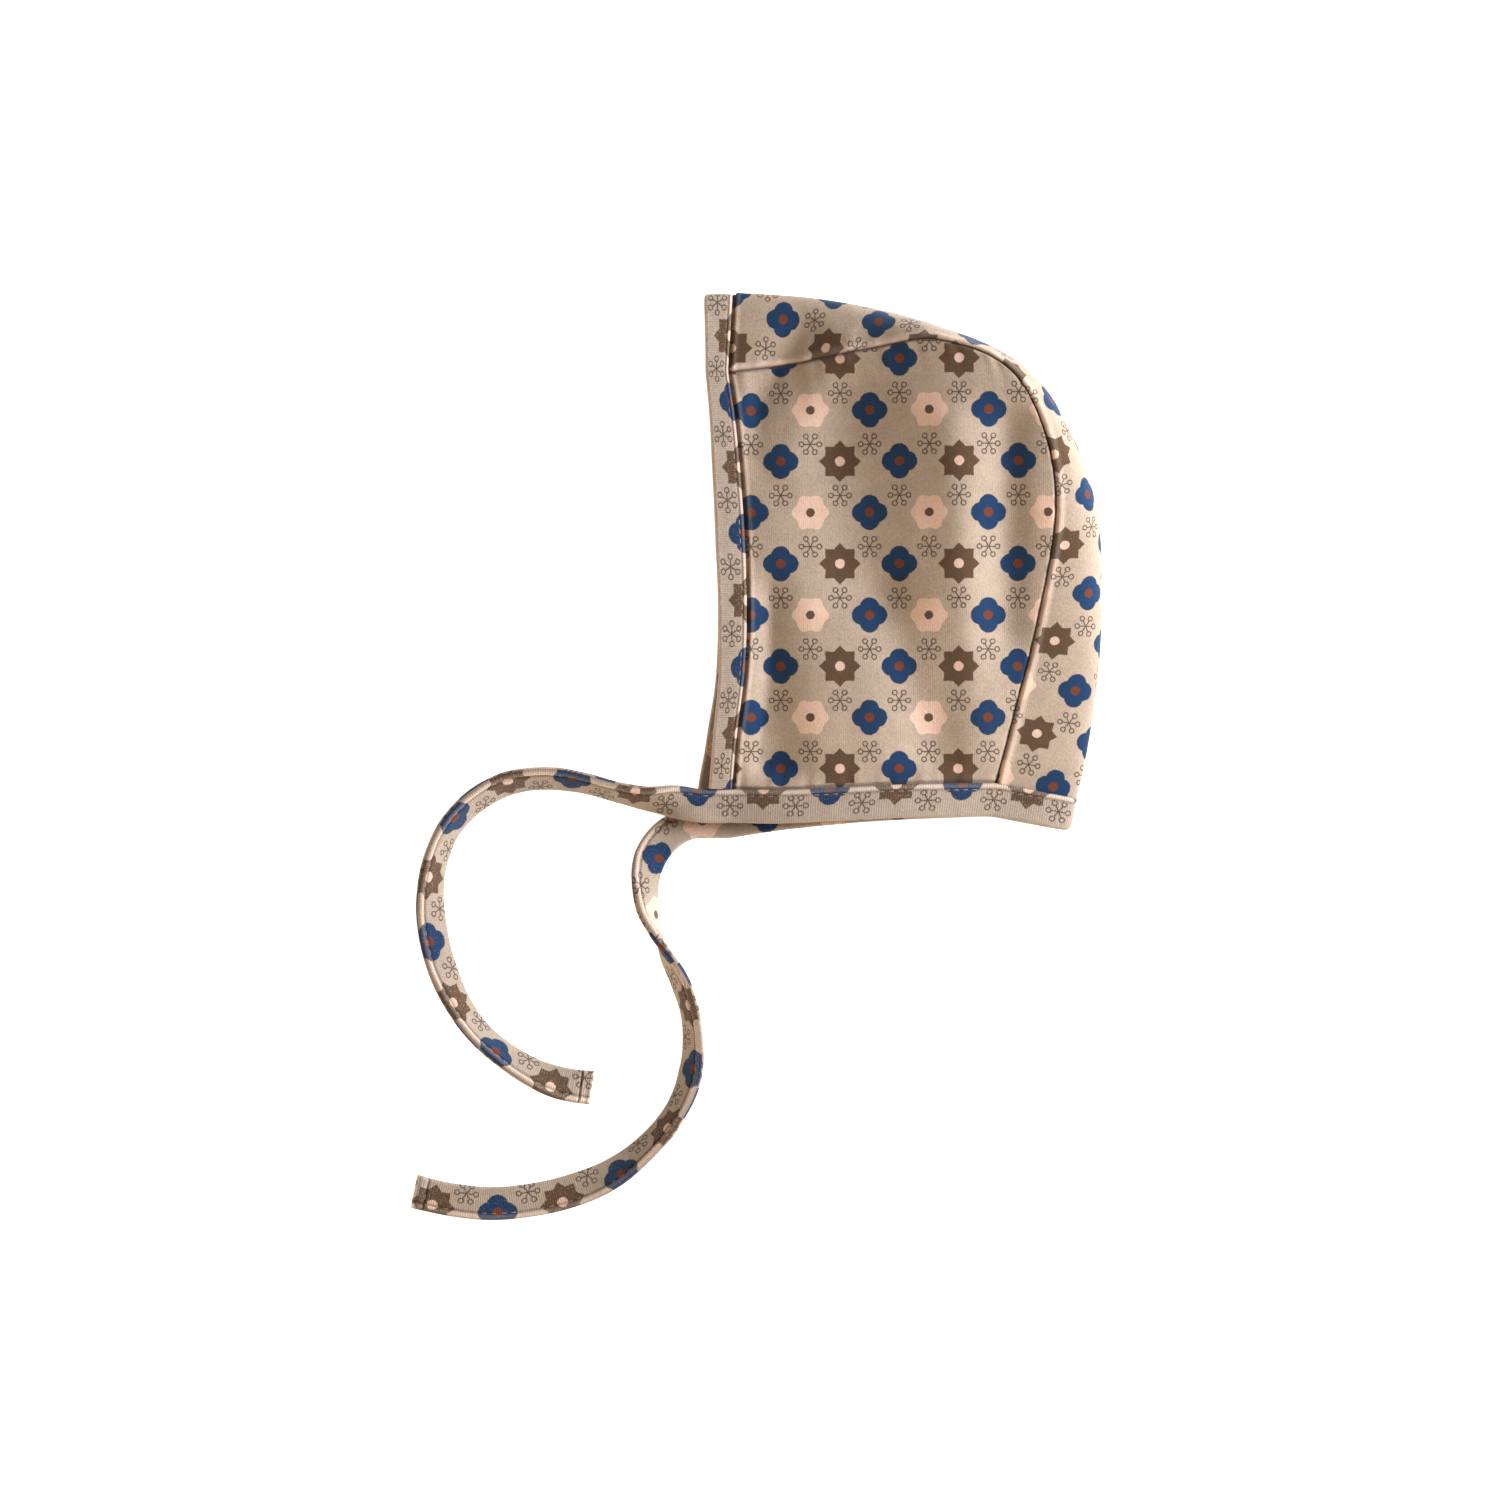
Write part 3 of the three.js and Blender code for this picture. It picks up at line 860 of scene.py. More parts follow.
class FinishNodes:
    """The shader nodes of one finish."""

    NOISE_ROUGHNESS = 0.55

    def __init__(self, name: str) -> None:
        """Start a finish with no nodes.

        Args:
            name: The name of the finish.
        """
        self.material = bpy.data.materials.new(name)
        self.material.use_nodes = True
        self.tree = self.material.node_tree
        self.tree.nodes.clear()

    def node(self, kind: str, settings: dict[str, object], inputs: dict[int | str, object]) -> bpy.types.Node:
        """Add a node.

        Args:
            kind: The node's type.
            settings: Its settings, which are set first.
            inputs: The value or link of each of its sockets, by name or number.

        Returns:
            The new node.
        """
        made = self.tree.nodes.new(kind)
        for setting, value in settings.items():
            setattr(made, setting, value)
        for key, value in inputs.items():
            source = value.socket if isinstance(value, Wire) else value
            if isinstance(source, bpy.types.NodeSocket):
                self.tree.links.new(source, made.inputs[key])
            else:
                made.inputs[key].default_value = source
        return made

    def maths(self, operation: str, *numbers: Number, clamp: bool = False) -> Wire:
        """A number worked out from others by a Math node.

        Args:
            operation: The operation.
            numbers: The numbers.
            clamp: Whether it is kept from 0 to 1.

        Returns:
            The number.
        """
        settings = {"operation": operation, "use_clamp": clamp}
        made = self.node("ShaderNodeMath", settings, dict(enumerate(numbers)))
        return Wire(self, made.outputs[0])

    def mix(self, share: Number, first: object, second: object, blend: str = "MIX") -> bpy.types.NodeSocket:
        """A colour between two others."""
        settings = {"data_type": "RGBA", "blend_type": blend}
        return self.node("ShaderNodeMix", settings, {0: share, 6: first, 7: second}).outputs[2]

    def noise(self, place: bpy.types.NodeSocket, size: float, detail: float) -> Wire:
        """Smooth noise from about 0 to 1, with features of a size in metres.

        Args:
            place: Where it is read.
            size: The features' size.
            detail: How many finer waves it has.

        Returns:
            The noise.
        """
        inputs = {"Vector": place, "Scale": 1.0 / size, "Detail": detail}
        inputs["Roughness"] = self.NOISE_ROUGHNESS
        return Wire(self, self.node("ShaderNodeTexNoise", {}, inputs).outputs[0])

    def object_place(self) -> bpy.types.NodeSocket:
        """The place in the piece's own coordinates."""
        return self.node("ShaderNodeTexCoord", {}, {}).outputs["Object"]

    def clamped(self, number: Number, gain: float, offset: float) -> Wire:
        """A number times a gain plus an offset, kept from 0 to 1."""
        return self.maths("MULTIPLY_ADD", number, gain, offset, clamp=True)

    def painted_light_and_tone(self) -> Wire:
        """How much paler or darker the cloth is at its seams and edges, with painted highlight and painted
        shade.
        """
        settings = {"attribute_type": "GEOMETRY", "attribute_name": Cloth.LIGHT_SHADE_AND_TONE}
        return Wire(self, self.node("ShaderNodeAttribute", settings, {}).outputs["Fac"])

    def cloth_place(self) -> tuple[Wire, Wire]:
        """The place on the flat cloth in metres, across its wales and along them."""
        grain = self.node("ShaderNodeUVMap", {"uv_map": Cloth.GRAIN}, {}).outputs[0]
        parts = self.node("ShaderNodeSeparateXYZ", {}, {0: grain}).outputs
        return Wire(self, parts[0]) * Cloth.GRAIN_UNIT, Wire(self, parts[1]) * Cloth.GRAIN_UNIT

    def finish(self, shader: dict[str, object]) -> bpy.types.Material:
        """Close the finish with its shader.

        Args:
            shader: The value or link of each socket of the shader.

        Returns:
            The material.
        """
        surface = self.node("ShaderNodeBsdfPrincipled", {}, shader)
        self.node("ShaderNodeOutputMaterial", {}, {0: surface.outputs[0]})
        return self.material


def dye(red: int, green: int, blue: int) -> tuple[float, float, float, float]:
    """A colour from its screen values, 0 to 255.

    Args:
        red: Its red.
        green: Its green.
        blue: Its blue.

    Returns:
        The colour as light, with full cover.
    """

    def linear(value: int) -> float:
        """The light that one screen value stands for."""
        share = value / 255.0
        return share / 12.92 if share <= 0.04045 else ((share + 0.055) / 1.055) ** 2.4

    return linear(red), linear(green), linear(blue), 1.0


@dataclass(frozen=True)
class FoulardPrint:
    """A small geometric print: staggered rows of quatrefoils with stars and rosettes between them."""

    pitch: float = 20.7 * MM
    row_pitch: float = 17.9 * MM
    row_slide: float = 1.5
    foil_offset: float = 2.75 * MM
    foil_radius: float = 3.45 * MM
    foil_outline: float = 0.32 * MM
    foil_eye: float = 1.65 * MM
    star_tip: float = 7.3 * MM
    star_notch: float = 5.5 * MM
    star_points: int = 8
    star_eye: float = 1.7 * MM
    rosette_radius: float = 6.0 * MM
    rosette_wave: float = 0.5 * MM
    rosette_petals: int = 6
    rosette_eye: float = 1.55 * MM
    sprig_arm: float = 2.3 * MM
    sprig_ring_place: float = 3.15 * MM
    sprig_ring_radius: float = 0.82 * MM
    sprig_line: float = 0.21 * MM
    sprig_arms: int = 6
    edge: float = 0.28 * MM
    bleed: float = 0.5 * MM
    bleed_sizes: tuple[float, float] = (1.1 * MM, 1.43 * MM)
    blue: tuple[float, ...] = dye(9, 52, 92)
    navy: tuple[float, ...] = dye(8, 40, 74)
    rust: tuple[float, ...] = dye(118, 54, 18)
    brown: tuple[float, ...] = dye(88, 60, 36)
    cream: tuple[float, ...] = dye(221, 195, 177)
    dark: tuple[float, ...] = dye(74, 54, 44)

    def _row(self, v: Wire, offset: float) -> tuple[Wire, Wire]:
        """The height in the nearest row, and 1 in every second row, else 0.

        Args:
            v: The height on the cloth.
            offset: The height of one of the rows.

        Returns:
            The height from the row's middle, and the mark of a second row.
        """
        height = v - offset
        number = (height / self.row_pitch + 0.5).floor()
        odd = abs(number.within(1.0))
        return height.within(self.row_pitch / 2.0), odd

    def _polar(self, nodes: FinishNodes, x: Wire, y: Wire, sectors: int) -> tuple[Wire, Wire, Wire]:
        """Radius, angle, and the angle folded into one of equal sectors."""
        radius = (x * x + y * y).root()
        angle = nodes.maths("ARCTAN2", y, x)
        return radius, angle, angle.within(math.pi / sectors)

    def _quatrefoil(self, x: Wire, y: Wire) -> Wire:
        """Distance from the outline of four joined circles, less than 0 inside.

        Args:
            x: The place across, from the middle.
            y: The place up, from the middle.

        Returns:
            The distance.
        """
        wide, tall = abs(x), abs(y)
        far = wide.most(tall) - self.foil_offset
        low = wide.least(tall)
        return (far * far + low * low).root() - self.foil_radius

    def _star(self, radius: Wire, folded: Wire) -> Wire:
        """Distance from the outline of a star, less than 0 inside.

        Args:
            radius: The distance from the middle.
            folded: The angle from the nearest point's line.

        Returns:
            The distance.
        """
        half = math.pi / self.star_points
        tip = (self.star_tip, 0.0)
        notch = (self.star_notch * math.cos(half), self.star_notch * math.sin(half))
        edge = (notch[0] - tip[0], notch[1] - tip[1])
        length = math.hypot(*edge)
        normal = (edge[1] / length, -edge[0] / length)
        across = radius * folded.cosine()
        up = abs(radius * folded.sine())
        return (across - tip[0]) * normal[0] + (up - tip[1]) * normal[1]

    def _sprig(self, radius: Wire, folded: Wire) -> Wire:
        """Distance from the lines of a six-armed sprig with a ring at each tip.

        Args:
            radius: The distance from the middle.
            folded: The angle from the nearest arm.

        Returns:
            The distance.
        """
        across = radius * folded.cosine()
        up = radius * folded.sine()
        arm = abs(up).most(across - self.sprig_arm)
        ring_across = across - self.sprig_ring_place
        ring = abs((ring_across * ring_across + up * up).root() - self.sprig_ring_radius)
        return arm.least(ring) - self.sprig_line

    def colour(
        self, nodes: FinishNodes, ground: bpy.types.NodeSocket, u: Wire, v: Wire, ink: Wire
    ) -> bpy.types.NodeSocket:
        """The print over a ground.

        Args:
            nodes: The nodes of the finish.
            ground: The colour of the cloth.
            u: Place across the cloth in metres.
            v: Place along the cloth in metres.
            ink: Share of the ink that covers the cloth.

        Returns:
            The colour of the printed cloth.
        """
        y, odd = self._row(v, 0.0)
        slid = u - odd * (self.row_slide * self.pitch)
        x_foil = slid.within(self.pitch)
        x_other = (slid - self.pitch).within(self.pitch)
        foil = self._quatrefoil(x_foil, y)
        eye = (x_foil * x_foil + y * y).root() - self.foil_eye
        radius, angle, folded = self._polar(nodes, x_other, y, self.star_points)
        star = self._star(radius, folded)
        petals = (angle * float(self.rosette_petals)).cosine() * self.rosette_wave
        rosette = radius - petals - self.rosette_radius
        y_sprig, odd_sprig = self._row(v, self.row_pitch / 3.0)
        x_sprig = (u - self.pitch / 2.0 - odd_sprig * (self.pitch / 2.0)).within(self.pitch / 2.0)
        sprig_radius, _, sprig_folded = self._polar(nodes, x_sprig, y_sprig, self.sprig_arms)
        sprig = self._sprig(sprig_radius, sprig_folded)
        even = 1.0 - odd
        layers = (
            (sprig.inside(self.edge), self.dark),
            (foil.inside(self.edge), self.navy),
            ((foil + self.foil_outline).inside(self.edge), self.blue),
            (eye.inside(self.edge), self.rust),
            (star.inside(self.edge) * even, self.brown),
            ((radius - self.star_eye).inside(self.edge) * even, self.cream),
            (rosette.inside(self.edge) * odd, self.cream),
            ((radius - self.rosette_eye).inside(self.edge) * odd, self.brown),
        )
        colour = ground
        for mask, ink_colour in layers:
            colour = nodes.mix(mask * ink, colour, ink_colour)
        return colour


@dataclass(frozen=True)
class PrintedKnit:
    """Brushed cotton knit with a print, fine wales and a soft nap."""

    name: str
    ground: tuple[float, ...] = dye(188, 166, 147)
    # The next two colours are painted light: pale is the colour of painted highlight on ridges, lips and
    # folded edges, the other the colour of painted shade in grooves and seam lines.
    pale: tuple[float, ...] = dye(232, 218, 204)
    painted_shade: tuple[float, ...] = dye(92, 64, 54)
    shade_dark: tuple[float, ...] = dye(96, 92, 88)
    shade_light: tuple[float, ...] = dye(210, 210, 210)
    ink: float = 1.0
    full_cover: float = 0.95
    rib_cover: float = 0.05
    print_painted_highlight: float = 0.25
    grin: float = 0.0
    grin_width: float = 0.5 * MM
    grin_length: float = 0.9 * MM
    grin_gain: float = 7.0
    grin_offset: float = -3.9
    rib: float = 0.2
    rib_tone: float = 0.04
    wale_pitch: float = 0.74 * MM
    course_pitch: float = 0.62 * MM
    course_lean: float = 1.2
    wale_share: float = 0.6
    wale_depth: float = 0.03 * MM
    nap_depth: float = 0.15 * MM
    nap_size: float = 0.9 * MM
    mottle: float = 0.22
    mottle_size: float = 7 * MM
    fleck: float = 0.36
    fleck_size: float = 0.9 * MM
    roughness: float = 0.93
    specular: float = 0.25
    sheen: float = 0.12
    sheen_roughness: float = 0.55
    pattern: FoulardPrint = field(default_factory=FoulardPrint)

    def _cover(self, nodes: FinishNodes, u: Wire, v: Wire, wale: Wire) -> Wire:
        """Share of the ink that covers the cloth, less where a stretched rib opens.

        Args:
            nodes: The nodes of the finish.
            u: The place across the wales.
            v: The place along them.
            wale: The height of the wales, from -1 to 1.

        Returns:
            The share.
        """
        spot = nodes.node("ShaderNodeCombineXYZ", {}, {0: u / self.grin_width, 1: v / self.grin_length})
        noise = nodes.noise(spot.outputs[0], 1.0, 1.0)
        open_rib = nodes.clamped(noise, self.grin_gain, self.grin_offset) * self.grin
        return self.ink * (self.full_cover + wale * (self.rib_cover * self.rib)) * (1.0 - open_rib)

    def material(self) -> bpy.types.Material:
        """Build the finish.

        Returns:
            The material of the knit.
        """
        nodes = FinishNodes(self.name)
        place = nodes.object_place()
        u, v = nodes.cloth_place()
        pattern = self.pattern
        bleed_u, bleed_v = (
            (nodes.noise(place, size, 2.0) - 0.5) * pattern.bleed for size in pattern.bleed_sizes
        )
        wale = (u / self.wale_pitch).wave()
        lean = abs((u / self.wale_pitch).within(0.5)) * self.course_lean
        course = (v / self.course_pitch + lean).wave()
        cover = self._cover(nodes, u, v, wale)
        mottle = (nodes.noise(place, self.mottle_size, 3.0) - 0.5) * self.mottle
        fleck = (nodes.noise(place, self.fleck_size, 2.0) - 0.5) * self.fleck
        tone = mottle + fleck + wale * (self.rib_tone * self.rib) + 0.5
        shade = nodes.mix(tone, self.shade_dark, self.shade_light)
        # The mesh's attribute paints highlight towards pale and shade towards the painted shade colour, over
        # the ground and over the print.
        seam = nodes.painted_light_and_tone()
        ground = nodes.mix(nodes.clamped(seam, 1.0, 0.0), self.ground, self.pale)
        printed = pattern.colour(nodes, ground, u + bleed_u, v + bleed_v, cover)
        printed = nodes.mix(nodes.clamped(seam, self.print_painted_highlight, 0.0), printed, self.pale)
        printed = nodes.mix(nodes.clamped(seam, -1.0, 0.0), printed, self.painted_shade)
        colour = nodes.mix(1.0, printed, shade, "OVERLAY")
        nap = nodes.noise(place, self.nap_size, 3.0)
        rib_height = wale * self.wale_share + course * (1.0 - self.wale_share)
        height = rib_height * (self.wale_depth / 2.0) + nap * self.nap_depth
        bump = nodes.node("ShaderNodeBump", {}, {"Strength": 1.0, "Distance": 1.0, "Height": height})
        return nodes.finish({
            "Base Color": colour,
            "Roughness": self.roughness,
            "Specular IOR Level": self.specular,
            "Sheen Weight": self.sheen,
            "Sheen Roughness": self.sheen_roughness,
            "Normal": bump.outputs[0],
        })


@dataclass(frozen=True)
class Thread:
    """Twisted sewing thread."""

    name: str = "sewing_thread"
    light: tuple[float, ...] = dye(172, 148, 128)
    dark: tuple[float, ...] = dye(112, 86, 72)
    twist_size: float = 0.35 * MM
    roughness: float = 0.8
    specular: float = 0.3

    def material(self) -> bpy.types.Material:
        """Build the finish.

        Returns:
            The material of the thread.
        """
        nodes = FinishNodes(self.name)
        fibres = nodes.noise(nodes.object_place(), self.twist_size, 2.0)
        colour = nodes.mix(fibres, self.dark, self.light)
        shader = {"Base Color": colour, "Roughness": self.roughness, "Specular IOR Level": self.specular}
        return nodes.finish(shader)


class Face(Enum):
    """A face of a strap."""

    OUTER = 1.0
    INNER = -1.0


@dataclass
class StitchRow:
    """A row of short stitches that is sunk into a strap along its stitch line."""

    END_FACING = 0.9

    name: str
    thread: bpy.types.Material
    length: float = 2.5 * MM
    pitch: float = 3.3 * MM
    radius: float = 0.25 * MM
    sink: float = 0.1 * MM
    bar_share: float = 0.6
    end_share: float = 0.2
    end_taper: float = 0.5
    end_drop: float = 0.3 * MM
    hem_share: float = 0.7
    sides: int = 6
    made: list[bpy.types.Object] = field(default_factory=list)

    def _model(self) -> bpy.types.Object:
        """Model one stitch: a short round bar whose ends narrow and dip into the cloth.

        Returns:
            The stitch, which the others are copied from.
        """
        bpy.ops.object.select_all(action="DESELECT")
        bpy.ops.mesh.primitive_cylinder_add(
            vertices=self.sides,
            radius=self.radius,
            depth=self.length * self.bar_share,
            rotation=(0.0, math.pi / 2.0, 0.0),
        )
        stitch = bpy.context.object
        bpy.ops.object.transform_apply(location=False, rotation=True, scale=True)
        for way in (-1.0, 1.0):
            bpy.ops.object.mode_set(mode="EDIT")
            bpy.ops.mesh.select_all(action="DESELECT")
            bpy.ops.object.mode_set(mode="OBJECT")
            for polygon in stitch.data.polygons:
                polygon.select = polygon.normal.x * way > self.END_FACING
            bpy.ops.object.mode_set(mode="EDIT")
            reach = way * self.length * self.end_share
            move = {"value": (reach, 0.0, -self.end_drop)}
            bpy.ops.mesh.extrude_region_move(TRANSFORM_OT_translate=move)
            bpy.ops.transform.resize(value=(1.0, self.end_taper, self.end_taper))
            bpy.ops.object.mode_set(mode="OBJECT")
        bpy.ops.object.shade_smooth()
        return stitch

    def _lay(self, middles: Points, ways: Points, cores: Points) -> None:
        """Copy the stitch to places on a strap.

        Args:
            middles: The middle of each stitch.
            ways: The way that each runs.
            cores: A point under each, inside the strap.
        """
        model = self._model()
        for middle, way, core in zip(middles, ways, cores, strict=True):
            forward = Vector(way).normalized()
            out = Vector(middle - core)
            out = (out - forward * out.dot(forward)).normalized()
            side = out.cross(forward)
            turn = Matrix((forward, side, out)).transposed().to_4x4()
            copy = model.copy()
            copy.data = model.data.copy()
            copy.data.transform(Matrix.Translation(Vector(middle)) @ turn)
            bpy.context.scene.collection.objects.link(copy)
            self.made.append(copy)
        bpy.data.objects.remove(model, do_unlink=True)

    def sew(self, strap: Strap, face: Face, first: float, last: float) -> None:
        """Lay stitches along a strap's stitch line.

        Args:
            strap: The strap.
            face: The face of the strap that they show on.
            first: Distance along the strap of the first stitch.
            last: Distance along the strap of the last one.
        """
        count = max(2, round((last - first) / self.pitch) + 1)
        middles = np.linspace(first, last, count)
        shifts = (0.0, self.length / 2.0, -self.length / 2.0)
        index = np.arange(len(strap.distance))
        station, ahead, behind = (np.interp(middles + shift, strap.distance, index) for shift in shifts)
        across = np.full(count, strap.profile.stitch_place)
        out = (strap.profile.half_thickness(across) - self.sink) * face.value
        fore, aft = strap.place(ahead, across, out), strap.place(behind, across, out)
        self._lay(strap.place(station, across, out), fore - aft, strap.place(station, across, out * 0.0))

    def sew_across(self, strap: Strap, face: Face, distance: float) -> None:
        """Lay stitches across a strap.

        Args:
            strap: The strap.
            face: The face of the strap that they show on.
            distance: Distance along the strap of the row.
        """
        first, last = strap.profile.stitch_place + self.length, strap.profile.width - self.length
        across = np.linspace(first, last, max(2, round((last - first) / self.pitch) + 1))
        station = np.interp(np.full(len(across), distance), strap.distance, np.arange(len(strap.distance)))
        out = (strap.profile.half_thickness(across) * self.hem_share - self.sink) * face.value
        reach = self.length / 2.0
        way = strap.place(station, across + reach, out) - strap.place(station, across - reach, out)
        self._lay(strap.place(station, across, out), way, strap.place(station, across, out * 0.0))

    def join(self) -> bpy.types.Object:
        """Join the stitches into one piece.

        Returns:
            The piece.
        """
        bpy.ops.object.select_all(action="DESELECT")
        for stitch in self.made:
            stitch.select_set(True)
        bpy.context.view_layer.objects.active = self.made[0]
        bpy.ops.object.join()
        piece = bpy.context.object
        piece.name = self.name
        piece.data.materials.clear()
        piece.data.materials.append(self.thread)
        return piece


@dataclass(frozen=True)
class Finishes:
    """The finishes of the bonnet."""

    outside: bpy.types.Material
    inside: bpy.types.Material
    binding: bpy.types.Material
    tie: bpy.types.Material
    thread: bpy.types.Material

    @classmethod
    def made(cls) -> "Finishes":
        """Build every finish.

        Returns:
            The finishes, each with its own material.
        """
        # The straps' ground is the knit's ground made a little darker, painted shade for the flat bands and
        # ties that the lamps light more brightly.
        strap = {"ground": dye(182, 162, 145), "grin": 0.4, "rib": 1.0, "wale_depth": 0.13 * MM}
        return cls(
            outside=PrintedKnit("printed_knit").material(),
            inside=PrintedKnit("knit_reverse", ground=dye(202, 180, 158), ink=0.14).material(),
            binding=PrintedKnit("knit_binding", **strap).material(),
            tie=PrintedKnit("knit_tie", **strap).material(),
            thread=Thread().material(),
        )


def put_on(piece: bpy.types.Object, slot: str | None, *nodes: str) -> None:
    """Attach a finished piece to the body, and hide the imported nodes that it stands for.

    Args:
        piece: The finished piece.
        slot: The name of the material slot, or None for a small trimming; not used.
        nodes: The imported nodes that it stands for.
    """
    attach(piece, BODY)
    if nodes:
        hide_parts(*nodes)
    LOG.info("%s: %d faces", piece.name, len(piece.data.polygons))


@dataclass(frozen=True)
class FaceSeamLook:
    """How the panels and the gusset look where they are sewn to the face band."""

    underlap: float = 2.2 * MM
    groove_half_width: float = 0.5 * MM
    groove_drop: float = 0.75 * MM
    # The groove's darkness is painted shade, and the lip's paleness is a painted highlight.
    groove_painted_shade: float = 0.6
    lip_place: float = 1.5 * MM
    lip_half_width: float = 0.75 * MM
    lip: float = 0.1 * MM
    lip_painted_highlight: float = 0.4

    def lip_relief(self, distance: np.ndarray) -> np.ndarray:
        """Rise of the pressed lip beside the seam."""
        return self.lip * bell(distance - self.lip_place, self.lip_half_width)

    def tone(self, distance: np.ndarray) -> np.ndarray:
        """Painted highlight on the lip, and painted shade in the groove."""
        pale = self.lip_painted_highlight * bell(distance - self.lip_place, self.lip_half_width)
        return pale - self.groove_painted_shade * bell(distance, self.groove_half_width)


@dataclass(frozen=True)
class SeamLook:
    """The groove of a seam and the puckers beside it."""

    drop: float
    half_width: float
    pucker: float
    pucker_wave: float
    pucker_reach: float

    def relief(self, distance: np.ndarray, along: np.ndarray, start: float) -> np.ndarray:
        """Rise of the cloth at distances from the seam and along it.

        Args:
            distance: Distances from the seam.
            along: Distances along it.
            start: A phase of the puckers in radians.

        Returns:
            The rise, less than 0 in the groove.
        """
        dropped = bell(distance, self.half_width)
        fade = np.exp(-distance / self.pucker_reach) * (1.0 - dropped)
        return self.pucker * fade * unevenness(along, self.pucker_wave, start) - self.drop * dropped


def lay_sheet(cloth: Cloth, finishes: Finishes, names: tuple[str, str]) -> None:
    """Args:
        cloth: The piece of cloth.
        finishes: The finishes of the bonnet.
        names: The material slot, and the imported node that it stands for.
    """
    cloth.dress(finishes.outside, finishes.inside)
    put_on(cloth.piece, *names)


@dataclass
class Panels:
    """The near and the far side panel."""

    seams: Seams
    drape: Drape
    face_line: FaceSeamLook
    finishes: Finishes
    near_columns: int = 160
    near_rows: int = 190
    far_columns: int = 90
    far_rows: int = 120
    seam: SeamLook = SeamLook(1.1 * MM, 0.6 * MM, 0.36 * MM, 7.5 * MM, 5.5 * MM)
    seam_phase: float = 1.3
    # The darker lines along the back, crown and neck seams are painted shade in their grooves.
    seam_painted_shades: tuple[tuple[str, float], ...] = (("back", 0.75), ("crown", 0.75), ("neck", 0.4))
    line_half_width: float = 0.5 * MM
    under_relief: float = 0.5
    under_wave_size: float = 19.8 * MM
    under_wave_seed: float = 7.7

    def _seam_distances(self, grid: Points) -> dict[str, tuple[np.ndarray, np.ndarray]]:
        """Distances from each seam and along it, on the cloth.

        Args:
            grid: Points of the panel's cloth.

        Returns:
            Distances from each seam and along it, by the seam's name.
        """
        across = travelled(grid, axis=0)
        up = travelled(grid, axis=1)
        return {
            "face": (across, up),
            "back": (across[-1:] - across, up),
            "neck": (up, across),
            "crown": (up[:, -1:] - up, across),
        }

    def _seam_relief(self, seams: dict[str, tuple[np.ndarray, np.ndarray]]) -> np.ndarray:
        """Drop into each seam and the puckers beside it, and the pressed lip beside the face seam.

        Args:
            seams: Distances from each seam and along it, by the seam's name.

        Returns:
            The rise of the cloth, less than 0 in a groove.
        """
        line = self.face_line
        face_seam = replace(self.seam, drop=line.groove_drop, half_width=line.groove_half_width)
        relief = line.lip_relief(seams["face"][0])
        for number, (name, (distance, along)) in enumerate(seams.items()):
            look = face_seam if name == "face" else self.seam
            relief += look.relief(distance, along, self.seam_phase * number)
        return relief

    def _seam_tone(self, seams: dict[str, tuple[np.ndarray, np.ndarray]]) -> np.ndarray:
        """Painted highlight on the lip, and painted shade in each seam's line.

        Args:
            seams: Distances from each seam and along it, by the seam's name.

        Returns:
            The tone, less than 0 for darker.
        """
        tone = self.face_line.tone(seams["face"][0])
        for name, dark in self.seam_painted_shades:
            tone -= dark * bell(seams[name][0], self.line_half_width)
        return tone

    def _tuck_under(self, grid: Points) -> Points:
        """Run the cloth's edges on under the two bands.

        Args:
            grid: Points of the panel's cloth.

        Returns:
            The points with their edges moved.
        """
        tucked = grid.copy()
        tucked[0, :, 0] -= self.face_line.underlap
        tucked[:, 0, 1] -= self.face_line.underlap / 2.0
        return tucked

    def near(self) -> None:
        """Make the near panel."""
        seams, form = self.seams, self.seams.form
        u, v = crowded(self.near_columns), crowded(self.near_rows)
        grid = seams.patch(seams.near_face, seams.near_neck, seams.near_gusset, u, v)
        grain = grid[..., :2].copy()
        distances = self._seam_distances(grid)
        grid[..., 2] += self.drape.rise(grid) + self._seam_relief(distances)
        outer = self._tuck_under(grid)
        inner = outer - np.array([0.0, 0.0, form.cloth])
        cloth = wall("near_panel", outer, inner, grain, self._seam_tone(distances))
        lay_sheet(cloth, self.finishes, ("printed_knit", "near_side_panel"))

    def far(self) -> None:
        """Make the far panel, which lies flat."""
        seams, form = self.seams, self.seams.form
        u, v = shares(self.far_columns), shares(self.far_rows)
        under = seams.patch(seams.far_face, seams.far_neck, seams.far_gusset, u, v)
        grain = under[..., :2] * np.array([-1.0, 1.0])
        distances = self._seam_distances(under)
        lie = lie_of_cloth(under, self.under_wave_size, self.under_wave_seed)
        waves = self.drape.small_rise * (1.0 + lie)
        grooves = (-self._seam_relief(distances)).clip(0.0)
        under[..., 2] = FLOOR_CLEARANCE + grooves * self.under_relief
        upper = self._tuck_under(under)
        upper[..., 2] = form.cloth + waves
        cloth = wall("far_panel", self._tuck_under(under), upper, grain, self._seam_tone(distances))
        lay_sheet(cloth, self.finishes, ("printed_knit", "far_side_panel"))


